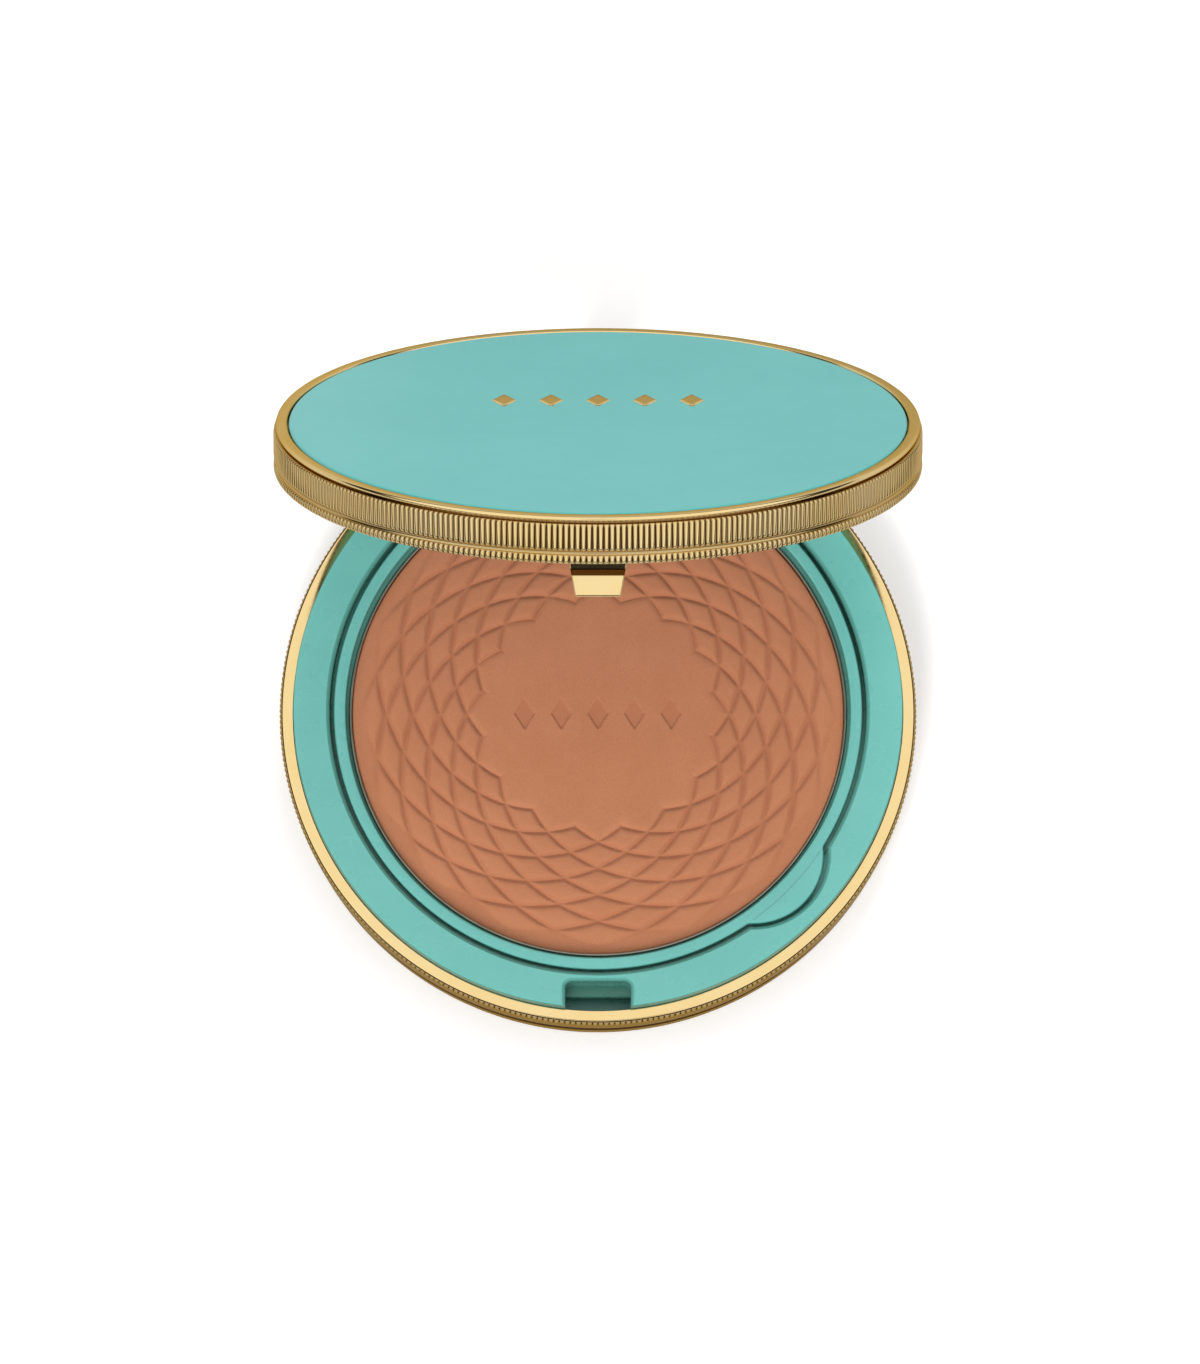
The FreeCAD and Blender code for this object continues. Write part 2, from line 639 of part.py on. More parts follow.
def make_panel():
    """A lacquered disc with a shallow dome and a rounded edge."""
    panel = new_body("lid_panel")
    sketch = new_sketch(panel, "section", "XZ_Plane")
    radius, floor = size_of("panel_radius"), size_of("panel_floor")
    edge, crown = size_of("panel_edge"), size_of("panel_crown")
    dome = (radius ** 2 + (crown - edge) ** 2) / (2 * (crown - edge))
    corners = [(0, floor), (radius, floor), (radius, edge), (0, crown)]
    points = [FreeCAD.Vector(x, y, 0) for x, y in corners]
    for first, last in ((0, 1), (1, 2), (3, 0)):
        sketch.addGeometry(Part.LineSegment(points[first], points[last]), False)
    round_top = Part.Circle(FreeCAD.Vector(0, crown - dome, 0), FreeCAD.Vector(0, 0, 1), dome)
    start = math.asin((edge - crown + dome) / dome)
    sketch.addGeometry(Part.ArcOfCircle(round_top, start, math.pi / 2), False)
    for first, last in (((0, 2), (1, 1)), ((1, 2), (3, 1)), ((3, 2), (2, 1)), ((2, 2), (0, 1))):
        sketch.addConstraint(Sketcher.Constraint("Coincident", *first, *last))
    pin_point(sketch, 0, 1, None, "dims.panel_floor")
    pin_point(sketch, 1, 1, "dims.panel_radius", "dims.panel_floor")
    pin_point(sketch, 1, 2, "dims.panel_radius", "dims.panel_edge")
    pin_point(sketch, 3, 2, None, "dims.panel_crown")
    sketch.addConstraint(Sketcher.Constraint("PointOnObject", 3, 3, -2))
    turned = panel.newObject("PartDesign::Revolution", "turned")
    turned.Profile = sketch
    turned.ReferenceAxis = (sketch, ["V_Axis"])
    turned.Angle = FULL_TURN
    doc.recompute()
    dress_rims(panel, "Fillet", [(radius, edge)], "dims.panel_rounding", "rounded_edge")
    shape = lozenge(panel, "dims.lozenge_top")
    inlay = pocket(panel, shape, "dims.lozenge_top - dims.lozenge_floor", "inlay_seat")
    repeat_in_row(panel, inlay, shape)
    lid_pieces.append(panel)


def make_ornament():
    """Five plain lozenges, inlaid level with the panel."""
    ornament = new_body("lid_ornament")
    shape = lozenge(ornament, "dims.lozenge_floor")
    inlay = pad(ornament, shape, "dims.lozenge_top - dims.lozenge_floor", name="inlay")
    repeat_in_row(ornament, inlay, shape)
    lid_pieces.append(ornament)


def make_lid_inside():
    inner = turned_piece("lid_inner_tray", [
        (None, "dims.inner_floor"),
        ("dims.mirror_seat", "dims.inner_floor"),
        ("dims.mirror_seat", "dims.inner_lip"),
        ("dims.inner_tray_radius", "dims.inner_lip"),
        ("dims.inner_tray_radius", "dims.web_bottom"),
        (None, "dims.web_bottom"),
    ], lid_pieces)
    slot = new_sketch(inner, "hook_slot_sketch", "XY_Plane", "dims.inner_lip")
    box_outline(slot, "dims.hook_top_width / 2 + dims.slot_gap", "-dims.hook_front - dims.slot_gap",
                "-dims.hook_front + dims.hook_thickness + dims.slot_gap")
    pocket(inner, slot, "dims.hook_root - dims.inner_lip", "hook_slot", upwards=True)
    mirror = disc("mirror", "dims.mirror_radius", "dims.mirror_face", "dims.mirror_back", lid_pieces)
    dress_rims(mirror, "Chamfer", [(size_of("mirror_radius"), size_of("mirror_face"))],
               "dims.mirror_bevel", "ground_bevel")
    disc("mirror_adhesive", "dims.adhesive_radius", "dims.mirror_back", "dims.inner_floor", lid_pieces)
    turned_piece("panel_adhesive", [
        ("dims.ring_inner", "dims.web_top"),
        ("dims.ring_outer", "dims.web_top"),
        ("dims.ring_outer", "dims.panel_floor"),
        ("dims.ring_inner", "dims.panel_floor"),
    ], lid_pieces)


# ---------------------------------------------------------------- assembly

def open_lid():
    """Turn every piece of the lid about the hinge axis, from closed to where it stands."""
    axis = FreeCAD.Vector(0, size_of("axis_back"), size_of("axis_height"))
    turn = FreeCAD.Rotation(FreeCAD.Vector(1, 0, 0), -size_of("open_angle"))
    for piece in lid_pieces:
        piece.Placement = FreeCAD.Placement(FreeCAD.Vector(0, 0, 0), turn, axis)
    doc.recompute()


def check_document():
    for item in doc.Objects:
        if "Invalid" in item.State or "Error" in item.State:
            raise RuntimeError(f"{item.Name} failed: {item.State}")
    for piece in base_pieces + lid_pieces:
        if piece.Shape.isNull() or not piece.Shape.isValid():
            raise RuntimeError(f"{piece.Label} has no valid shape")


def export_pieces():
    os.makedirs("parts", exist_ok=True)
    for piece in base_pieces + lid_pieces:
        piece.Shape.exportStep(f"parts/{piece.Label}.step")
        print(f"{piece.Label}: {piece.Shape.Volume:.1f} mm3, {len(piece.Shape.Solids)} solid(s)")


make_base_rim()
make_tray()
make_cassette()
make_underside()
make_refill()
make_latch_catch()
make_base_bracket()
make_hinge_pin()
make_washers()
make_lid_rim()
make_panel()
make_ornament()
make_lid_inside()
make_latch_hook()
make_lid_lug()
open_lid()
check_document()
export_pieces()
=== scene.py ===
import json
import math

import bmesh
import bpy
import numpy as np
from mathutils import Matrix, Vector
from mathutils.geometry import tessellate_polygon


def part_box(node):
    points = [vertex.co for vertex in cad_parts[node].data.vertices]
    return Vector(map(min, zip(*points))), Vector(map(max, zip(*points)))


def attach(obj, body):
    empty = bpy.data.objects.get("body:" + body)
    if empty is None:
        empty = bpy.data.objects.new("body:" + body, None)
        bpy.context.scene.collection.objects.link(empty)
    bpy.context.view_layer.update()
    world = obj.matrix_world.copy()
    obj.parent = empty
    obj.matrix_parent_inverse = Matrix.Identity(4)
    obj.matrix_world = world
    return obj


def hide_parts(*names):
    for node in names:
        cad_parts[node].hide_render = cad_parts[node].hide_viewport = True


# Powder compact, looks. Shapes are drawn in millimetres, +Z up, the front towards -Y, with the
# lid closed; place() scales them to metres and turns the lid's pieces to where the lid stands.

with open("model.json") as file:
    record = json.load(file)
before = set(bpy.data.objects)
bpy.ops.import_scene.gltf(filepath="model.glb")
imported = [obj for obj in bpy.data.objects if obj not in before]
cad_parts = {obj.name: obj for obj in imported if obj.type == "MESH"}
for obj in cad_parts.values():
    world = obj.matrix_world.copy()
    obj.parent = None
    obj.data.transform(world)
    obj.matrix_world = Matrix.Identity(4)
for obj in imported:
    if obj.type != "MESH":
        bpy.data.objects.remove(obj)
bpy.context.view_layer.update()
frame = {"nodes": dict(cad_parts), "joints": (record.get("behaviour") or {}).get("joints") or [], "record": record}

MM = 0.001
HINGE = frame["joints"][0]
OPEN_ANGLE = -HINGE["range_deg"][0]
AXIS_BACK, AXIS_HEIGHT = (value / MM for value in HINGE["pos_m"][1:])
PIVOT = Vector(HINGE["pos_m"])
LID_TURN = (Matrix.Translation(PIVOT)
            @ Matrix.Rotation(math.radians(OPEN_ANGLE), 4, Vector(HINGE["axis"]))
            @ Matrix.Translation(-PIVOT))


def extent(node):
    """Half width, lowest and highest point of a CAD node, in millimetres, with the lid closed."""
    points = [vertex.co for vertex in frame["nodes"][node].data.vertices]
    if node in frame["record"]["behaviour"]["bodies"]["lid"]:
        shut = LID_TURN.inverted()
        points = [shut @ point for point in points]
    half = max(abs(point.x) for point in points)
    heights = [point.z for point in points]
    return half / MM, min(heights) / MM, max(heights) / MM


# ---------------------------------------------------------------- sizes, in millimetres

RIM_RADIUS, RIM_BOTTOM, RIM_TOP = extent("base_rim_ring")
TRAY_RADIUS, TRAY_BOTTOM, DECK_TOP = extent("base_tray")
CASSETTE_TOP = extent("refill_cassette")[2]
PAN_RADIUS, PAN_BOTTOM, PAN_TOP = extent("powder_pan")
CAKE_RADIUS, CAKE_BOTTOM, CAKE_TOP = extent("pressed_powder")
COVER_RADIUS, COVER_BOTTOM, COVER_TOP = extent("base_bottom_cover")
LABEL_RADIUS, LABEL_BOTTOM, LABEL_TOP = extent("base_label")
LID_RADIUS, LID_BOTTOM, BEAD_TOP = extent("lid_rim_ring")
PANEL_RADIUS, PANEL_BOTTOM, PANEL_CROWN = extent("lid_panel")
INNER_RADIUS, INNER_BOTTOM, INNER_TOP = extent("lid_inner_tray")
MIRROR_RADIUS, MIRROR_FACE, MIRROR_BACK = extent("mirror")
HOOK_TOP_HALF, HOOK_TIP, HOOK_ROOT = extent("latch_hook")
LUG_HALF, _, LUG_TOP = extent("lid_hinge_lug")
BRACKET_HALF, BRIDGE_BOTTOM, BRACKET_TOP = extent("base_hinge_bracket")
PIN_HALF = extent("hinge_pin")[0]

FLUTES = 360                # round each rim
FLUTE_STEPS = 6             # mesh columns on each flute
FLUTE_DEPTH = 0.24
FLUTE_END = 0.42            # length of the scallop at each end

COVER_GAP = 0.05            # between the base rim and the bottom cover
FOOT_RADIUS, FOOT_TOP = 39.4, 2.1
COVE_RADIUS, COVE_TOP = 38.95, 5.2
BAND_RADIUS, BAND_TOP = 39.8, 7.6
FOOT_ROUND, COVE_ROUND, BAND_ROUND = 0.7, 0.3, 0.18
COVE_RISE, COVE_FALL = 0.35, 0.5    # heights of the slopes into the cove
TOP_FACE_RADIUS, TOP_LEAN = 39.6, 0.1   # the flat top falls outwards by this much
KNURL_TOP_RADIUS, KNURL_FALL = 39.74, 0.16
RIM_BORE, FLANGE_BORE = 38.3, 37.2
LEDGE_BOTTOM, LEDGE_TOP = 1.0, 2.0
COVER_GROOVE = (31.0, 32.4)     # shallow groove round the underside

WELL_RADIUS = 33.7
WELL_FLOOR = 3.0
DECK_ROUND = 0.14
MOUTH_BEVEL = 0.45          # round the well and the recess
TAB_BEARING = math.radians(-43.6)
TAB_CENTRE = 26.9
TAB_WELL_ARC, TAB_ARC = 9.3, 8.75
TAB_BLEND = 0.8
TAB_THICKNESS = 1.6
TAB_WELL_FLOOR = CASSETTE_TOP - TAB_THICKNESS - 0.4
CASSETTE_RADIUS, CASSETTE_BORE, CASSETTE_FLOOR = 33.15, 31.7, 3.8
CASSETTE_ROUND, BORE_ROUND = 0.28, 0.2
RIB_RADIUS, INNER_RIB_RADIUS, RIB_TOP = 33.66, 31.29, 8.25    # ribs that close the gaps
SEAM_BEAD = 0.07
RECESS_HALF, RECESS_INNER, RECESS_FLOOR, RECESS_CORNER = 4.1, 34.75, 4.5, 0.9
CATCH_ROUND = 0.3

PAN_WALL = 0.35
WEAVE_SPOKES = 32           # half steps of the lattice pressed into the powder
WEAVE_START = 14.7
WEAVE_STEP = 1.7
WEAVE_RINGS = 8
GROOVE_DEPTH = 0.42
GROOVE_HALF = 0.62
CELL_WIDTH = 3.1            # across one cell, from groove to groove
PILLOW_RISE = 0.14
PLAIN_RADIUS = 12.6         # plain middle of the powder
PRESSED_PITCH, PRESSED_HALF = 4.6, (1.25, 2.0)
CAKE_ROUND = 0.25

SHORT_FLUTE_TOP, GROOVE_TOP, TALL_FLUTE_TOP = 10.55, 11.2, 14.5
LID_GROOVE_RADIUS, STEP_RADIUS, STEP_TOP, BEAD_RADIUS = 39.5, 39.3, 14.72, 39.7
BEAD_HEIGHT = 0.64
PANEL_BORE, SKIRT_BORE = 38.25, 38.6
WEB_BOTTOM, WEB_TOP, WEB_BORE = 13.65, 14.25, 32.0
PANEL_EDGE, PANEL_ROUNDING = 15.4, 0.45
MIRROR_SEAT, SEAT_FLOOR, MIRROR_BEVEL = 33.6, 12.9, 0.4
LOZENGES = 5
LOZENGE_PITCH, LOZENGE_ROW = 5.8, 7.5
LOZENGE_HALF = (1.5, 2.5)
LOZENGE_TOP = 15.75

HOOK_FRONT, HOOK_THICKNESS, HOOK_TIP_HALF = 37.9, 1.2, 2.75
HOOK_FLARE, FLARE_HEIGHT = 0.33, 1.4    # the hook's face leans out towards its root
HOOK_SHADE = 0.7            # height of the strip below the lean that gets full painted shade
HOOK_ROUND, BARB_DEPTH, BARB_INSET = 0.25, 0.35, 0.3
KNUCKLE_RADIUS, PIN_RADIUS = 1.7, 0.8
KNUCKLE_GAP_HALF = 4.1
BRIDGE_TOP, BRIDGE_BEVEL = 3.6, 1.1
SEAT_REACH = 1.2            # hinge pieces start this far inside the rim's tips
LUG_CLEARANCE, LUG_WAIST, LUG_SHOULDER, LUG_NOSE = 0.35, 9.4, 10.2, 41.3
HINGE_BEVEL = 0.12
PIN_ROUND = 0.25
WASHER_RADIUS, WASHER_THICKNESS, WASHER_GAP = 1.6, 0.24, 0.05

CAMERA_TARGET = Vector((0.25, 5.5, 1.8)) * MM
CAMERA_ELEVATION = 77.0
CAMERA_DISTANCE = 1.612
CAMERA_LENS = 337.1
FLOOR_SIZE = 6.0
TENT_FOOT = (0.24, 0.4)     # the light tent brightens between these heights of a direction
TENT_LIGHT = (0.04, 1.2)
DARK_SPOT = (0.0, -0.225, 0.974)    # towards the camera, seen in the metal
SPOT_EDGE = (0.09, 0.14)
SPOT_LIGHT = (0.03, 1.0)


# ---------------------------------------------------------------- outlines

def arc(centre, radius, start, end, steps):
    """Points of an arc from one angle to another, both ends included."""
    turns = np.linspace(start, end, steps + 1)
    return [(centre[0] + radius * math.cos(turn), centre[1] + radius * math.sin(turn))
            for turn in turns]


def full_turn(columns):
    """Evenly spaced angles, once round."""
    return np.arange(columns) * 2 * math.pi / columns


def rounded(corners, steps=5):
    """An outline through corners (x, y, rounding), each rounding drawn as an arc."""
    outline = []
    for number, (x, y, rounding) in enumerate(corners):
        corner = Vector((x, y))
        if not rounding:
            outline.append((x, y))
            continue
        before = (Vector(corners[number - 1][:2]) - corner).normalized()
        after = (Vector(corners[(number + 1) % len(corners)][:2]) - corner).normalized()
        half = before.angle(after) / 2
        centre = corner + (before + after).normalized() * rounding / math.sin(half)
        first = corner + before * rounding / math.tan(half) - centre
        last = corner + after * rounding / math.tan(half) - centre
        start = math.atan2(first.y, first.x)
        sweep = first.angle_signed(last)
        outline += arc(centre, rounding, start, start - sweep, steps)
    return outline


def lobed(radius, lobe, blend, steps=240):
    """A circle with the tab's lobe, as four arcs: the long way round, blend, lobe, blend.
    The first and last points of the first arc are where the lobe's side begins."""
    far, near = radius + blend, lobe + blend
    turn = math.acos((TAB_CENTRE ** 2 + far ** 2 - near ** 2) / (2 * TAB_CENTRE * far))
    middle = Vector((TAB_CENTRE * math.cos(TAB_BEARING), TAB_CENTRE * math.sin(TAB_BEARING)))
    start, end = TAB_BEARING + turn, TAB_BEARING - turn + 2 * math.pi
    first_blend = Vector((far * math.cos(end), far * math.sin(end)))
    last_blend = Vector((far * math.cos(start), far * math.sin(start)))
    enter = (first_blend - middle).to_2d()
    leave = (last_blend - middle).to_2d()
    lobe_start = math.atan2(enter.y, enter.x)
    lobe_sweep = (math.atan2(leave.y, leave.x) - lobe_start) % (2 * math.pi)
    circle_part = arc((0, 0), radius, start, end, steps)
    blend_sweep = (lobe_start + math.pi - (end + math.pi) + math.pi) % (2 * math.pi) - math.pi
    blend_in = arc(first_blend, blend, end + math.pi, end + math.pi + blend_sweep, 6)
    lobe_part = arc(middle, lobe, lobe_start, lobe_start + lobe_sweep, 60)
    back = lobe_start + lobe_sweep + math.pi
    blend_out = arc(last_blend, blend, back, back + blend_sweep, 6)
    return circle_part, blend_in[1:] + lobe_part[1:] + blend_out[1:-1]


# ---------------------------------------------------------------- meshes

class Shell:
    """Points and faces of one mesh, in millimetres, gathered loop by loop."""

    def __init__(self):
        self.points = []
        self.faces = []
        self.marks = {}

    def loop(self, points):
        first = len(self.points)
        self.points += [tuple(float(value) for value in point) for point in points]
        return list(range(first, len(self.points)))

    def level(self, outline, height):
        return self.loop([(x, y, height) for x, y in outline])

    def ring(self, radius, height, turns):
        return self.loop([(radius * math.cos(turn), radius * math.sin(turn), height) for turn in turns])

    def repeat(self, loop, height, grow=1.0):
        """The outline of a loop at another height, grown about the Z axis."""
        return self.loop([(self.points[index][0] * grow, self.points[index][1] * grow, height)
                          for index in loop])

    def bridge(self, lower, upper, closed=True):
        count = len(lower)
        for step in range(count if closed else count - 1):
            after = (step + 1) % count
            self.faces.append((lower[step], lower[after], upper[after], upper[step]))

    def stack(self, loops, closed=True):
        for lower, upper in zip(loops, loops[1:]):
            self.bridge(lower, upper, closed)

    def cap(self, loop):
        self.faces.append(tuple(loop))

    def fill(self, *loops):
        """A flat face with holes, as triangles."""
        outlines = [[Vector(self.points[index]) for index in loop] for loop in loops]
        indices = [index for loop in loops for index in loop]
        for triangle in tessellate_polygon(outlines):
            self.faces.append(tuple(indices[corner] for corner in triangle))

    def mark(self, loop, value):
        """How much painted shade these points get, 0 to 1: materials darken with it."""
        for index in loop:
            self.marks[index] = value

    def absorb(self, part):
        """Take in the points and faces of another shell."""
        first = len(self.points)
        self.points += part.points
        self.faces += [tuple(index + first for index in face) for face in part.faces]

    def shut_lobe(self, above, outline, radius, height):
        """Carry a lobed outline down to a height, and close its lobe up to the circle there.
        Gives back the circle's loop and the angles where the lobe leaves it."""
        circle_part, lobe_part = outline
        below = self.level(circle_part + lobe_part, height)
        self.bridge(above, below)
        ring, lobe = below[:len(circle_part)], below[len(circle_part):]
        last, first = circle_part[-1], circle_part[0]
        start = math.atan2(last[1], last[0])
        end = start + (math.atan2(first[1], first[0]) - start) % (2 * math.pi)
        inside = self.level(arc((0, 0), radius, start, end, 40)[1:-1], height)
        self.fill([ring[-1]] + lobe + [ring[0]] + inside[::-1])
        return ring + inside, start, end


def lathe(profile, columns=256):
    """Turn an outline of (radius, height) about the Z axis."""
    shell = Shell()
    turns = full_turn(columns)
    rings = [shell.ring(radius, height, turns) for radius, height in profile]
    shell.stack(rings + rings[:1])
    return shell


def prism(outlines):
    """A bar along X through matching outlines, each a list of (x, y, z)."""
    shell = Shell()
    loops = [shell.loop(outline) for outline in outlines]
    shell.stack(loops)
    shell.cap(loops[0])
    shell.cap(loops[-1])
    return shell


def place(name, shell, body, material, nodes=(), crease=35.0, bevel=0.0):
    """Make a shell into a piece that rides on a body and stands for its CAD nodes."""
    mesh = bpy.data.meshes.new(name)
    mesh.from_pydata([tuple(value * MM for value in point) for point in shell.points], [],
                     shell.faces)
    # the painted shade marks go onto the mesh as a point attribute
    if shell.marks:
        values = np.zeros(len(shell.points), np.float32)
        values[list(shell.marks)] = list(shell.marks.values())
        mesh.attributes.new("painted_shade", "FLOAT", "POINT").data.foreach_set("value", values)
    solid = bmesh.new()
    solid.from_mesh(mesh)
    bmesh.ops.remove_doubles(solid, verts=solid.verts, dist=1e-7)
    bmesh.ops.dissolve_degenerate(solid, edges=solid.edges, dist=1e-8)
    bmesh.ops.recalc_face_normals(solid, faces=solid.faces)
    if body == "lid":
        bmesh.ops.transform(solid, matrix=LID_TURN, verts=solid.verts)
    solid.to_mesh(mesh)
    solid.free()
    mesh.materials.append(material)
    mesh.shade_smooth()
    mesh.set_sharp_from_angle(angle=math.radians(crease))
    piece = bpy.data.objects.new(name, mesh)
    bpy.context.scene.collection.objects.link(piece)
    if bevel:
        edge = piece.modifiers.new("soft_edges", "BEVEL")
        edge.width = bevel * MM
        edge.segments = 3
        edge.limit_method = "ANGLE"
        edge.angle_limit = math.radians(crease)
        edge.harden_normals = True
    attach(piece, body)
    if nodes:
        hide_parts(*nodes)


# ---------------------------------------------------------------- materials

def add_node(tree, kind, **settings):
    node = tree.nodes.new(kind)
    for key, value in settings.items():
        setattr(node, key, value)
    return node


class Paint:
    """A material built from nodes round one Principled shader."""

    def __init__(self, name):
        self.material = bpy.data.materials.new(name)
        self.material.use_nodes = True
        self.tree = self.material.node_tree
        self.shader = self.tree.nodes["Principled BSDF"]
        self.coordinates = self.add("ShaderNodeTexCoord").outputs["Object"]

    def add(self, kind, **settings):
        return add_node(self.tree, kind, **settings)

    def join(self, source, target):
        self.tree.links.new(source, target)

    def set(self, **values):
        for key, value in values.items():
            self.shader.inputs[key.replace("_", " ")].default_value = value

    def noise(self, size, detail=3.0, roughness=0.55, stretch=None):
        """Noise whose features are about this many millimetres across."""
        node = self.add("ShaderNodeTexNoise")
        node.inputs["Scale"].default_value = 1 / (size * MM)
        node.inputs["Detail"].default_value = detail
        node.inputs["Roughness"].default_value = roughness
        coordinates = self.coordinates
        if stretch:
            mapping = self.add("ShaderNodeMapping")
            mapping.inputs["Scale"].default_value = stretch
            self.join(coordinates, mapping.inputs["Vector"])
            coordinates = mapping.outputs["Vector"]
        self.join(coordinates, node.inputs["Vector"])
        return node.outputs["Fac"]

    def span(self, source, low, high, start=0.3, end=0.7):
        """Carry a value between start and end over to low and high."""
        node = self.add("ShaderNodeMapRange")
        node.inputs["From Min"].default_value = start
        node.inputs["From Max"].default_value = end
        node.inputs["To Min"].default_value = low
        node.inputs["To Max"].default_value = high
        self.join(source, node.inputs["Value"])
        return node.outputs["Result"]

    def mix(self, factor, first, second):
        node = self.add("ShaderNodeMix", data_type="RGBA")
        sockets = {"Factor": factor, "A": first, "B": second}
        for socket in node.inputs:
            if socket.enabled and socket.name in sockets:
                value = sockets[socket.name]
                if isinstance(value, bpy.types.NodeSocket):
                    self.join(value, socket)
                else:
                    socket.default_value = value
        return next(output for output in node.outputs if output.enabled)

    def bump(self, source, height, below=None):
        """Relief of this height in millimetres, on top of another if one is given."""
        node = self.add("ShaderNodeBump")
        node.inputs["Distance"].default_value = height * MM
        self.join(source, node.inputs["Height"])
        if below:
            self.join(below, node.inputs["Normal"])
        return node.outputs["Normal"]

    def tones(self, source, dark, light):
        """Two close colours, mixed by a noise."""
        return self.mix(self.span(source, 0, 1), linear(*dark), linear(*light))

    def colour(self, source, painted_shade=None):
        """The base colour, and the painted shade colour that it turns to where the mesh is marked for painted
        shade.
        """
        if painted_shade:
            marks = self.add("ShaderNodeAttribute", attribute_name="painted_shade").outputs["Fac"]
            source = self.mix(marks, source, linear(*painted_shade))
        self.join(source, self.shader.inputs["Base Color"])

    def roughness(self, source):
        self.join(source, self.shader.inputs["Roughness"])

    def normal(self, source):
        self.join(source, self.shader.inputs["Normal"])


def linear(red, green, blue):
    """A colour given as 0 to 255 on screen, as the linear colour that shaders take."""
    parts = [value / 255 for value in (red, green, blue)]
    return tuple(part / 12.92 if part <= 0.04045 else ((part + 0.055) / 1.055) ** 2.4
                 for part in parts) + (1.0,)


def make_gold():
    """Polished gilt metal: faint cloudiness, fine hairlines, and a brown painted shade in the flutes' valleys and
    the other marked places.
    """
    gold = Paint("gilt_metal")
    gold.set(Metallic=1.0, Specular_Tint=linear(214, 186, 134))
    # the last colour is the dark brown painted shade for marked points
    gold.colour(gold.tones(gold.noise(9.0), (250, 219, 150), (254, 227, 168)), (86, 50, 14))
    hairlines = gold.noise(0.5, 4.0, 0.7, (1.0, 1.0, 6.0))
    gold.roughness(gold.span(gold.noise(2.5, 5.0), 0.07, 0.15))
    gold.normal(gold.bump(hairlines, 0.0012))
    return gold.material


def make_lacquer():
    """Deep turquoise lacquer under a clear coat, with a very slight orange peel."""
    lacquer = Paint("turquoise_lacquer")
    lacquer.set(Coat_Weight=0.08, Coat_Roughness=0.04, Coat_IOR=1.4, Specular_IOR_Level=0.3)
    tone = lacquer.tones(lacquer.noise(14.0, 4.0), (92, 184, 179), (97, 188, 183))
    fleck = lacquer.span(lacquer.noise(0.12, 2.0), 0, 0.5, 0.62, 0.8)
    # the last colour is the dark teal painted shade, used on the panel's rounded edge
    lacquer.colour(lacquer.mix(fleck, tone, linear(124, 206, 198)), (30, 110, 96))
    lacquer.roughness(lacquer.span(lacquer.noise(3.0), 0.16, 0.26))
    lacquer.normal(lacquer.bump(lacquer.noise(1.6, 2.0), 0.004))
    return lacquer.material


def make_moulding():
    """Turquoise moulded plastic: satin gloss, fine spark grain and a trace of flow marks."""
    plastic = Paint("turquoise_moulding")
    plastic.set(IOR=1.49, Subsurface_Weight=0.25, Subsurface_Scale=0.0012,
                Subsurface_Radius=(0.5, 1.0, 0.9))
    flow = plastic.noise(11.0, 3.0, 0.5, (1.0, 1.6, 1.0))
    # the last colour is the dark green painted shade, used in the latch recess, down the deck's wall, at the
    # well's mouth and on the cassette's walls
    plastic.colour(plastic.tones(flow, (105, 180, 171), (110, 184, 175)), (60, 116, 101))
    plastic.roughness(plastic.span(plastic.noise(2.4, 4.0), 0.25, 0.33))
    plastic.normal(plastic.bump(plastic.noise(0.3, 3.0), 0.0006))
    return plastic.material


def make_powder():
    """Pressed powder: matt, grainy, a little burnished on the crests, with painted shade darkening the grooves and
    the lozenges' pits.
    """
    powder = Paint("pressed_powder")
    powder.set(Specular_IOR_Level=0.18, Sheen_Weight=0.06, Sheen_Roughness=0.6)
    blotch = powder.tones(powder.noise(6.0, 5.0, 0.6), (186, 122, 88), (192, 128, 94))
    grain = powder.span(powder.noise(0.16, 4.0, 0.75), 0, 0.55, 0.42, 0.72)
    speckled = powder.mix(grain, blotch, linear(168, 104, 70))
    mica = powder.span(powder.noise(0.07, 1.0), 0, 0.6, 0.7, 0.78)
    # the last colour is the brown painted shade for marked points
    powder.colour(powder.mix(mica, speckled, linear(214, 160, 126)), (150, 90, 60))
    powder.roughness(powder.span(powder.noise(1.2), 0.78, 0.95))
    coarse = powder.bump(powder.noise(0.5, 4.0, 0.7), 0.03)
    powder.normal(powder.bump(powder.noise(0.11, 3.0, 0.8), 0.018, coarse))
    return powder.material


def make_metal(name, dark, light, roughness, stretch):
    """Drawn or brushed metal, with its grain along one axis."""
    metal = Paint(name)
    metal.set(Metallic=1.0)
    grain = metal.noise(0.5, 5.0, 0.7, stretch)
    metal.colour(metal.tones(metal.noise(4.0), dark, light))
    metal.roughness(metal.span(grain, *roughness))
    metal.normal(metal.bump(grain, 0.002))
    return metal.material


def make_mirror():
    """Silvered glass, with the faint veil that any handled mirror has."""
    glass = Paint("mirror_glass")
    glass.set(Metallic=1.0)
    glass.colour(glass.tones(glass.noise(16.0), (228, 234, 233), (236, 240, 239)))
    glass.roughness(glass.span(glass.noise(7.0, 6.0, 0.65), 0.01, 0.05))
    return glass.material


def make_soft(name, dark, light, size, height, roughness):
    """Foam or printed foil: a fine grain over two close tones."""
    soft = Paint(name)
    soft.set(Specular_IOR_Level=0.3)
    grain = soft.noise(size, 4.0, 0.7)
    soft.colour(soft.tones(grain, dark, light))
    soft.roughness(soft.span(soft.noise(3.0), *roughness))
    soft.normal(soft.bump(grain, height))
    return soft.material


# ---------------------------------------------------------------- fluted rims

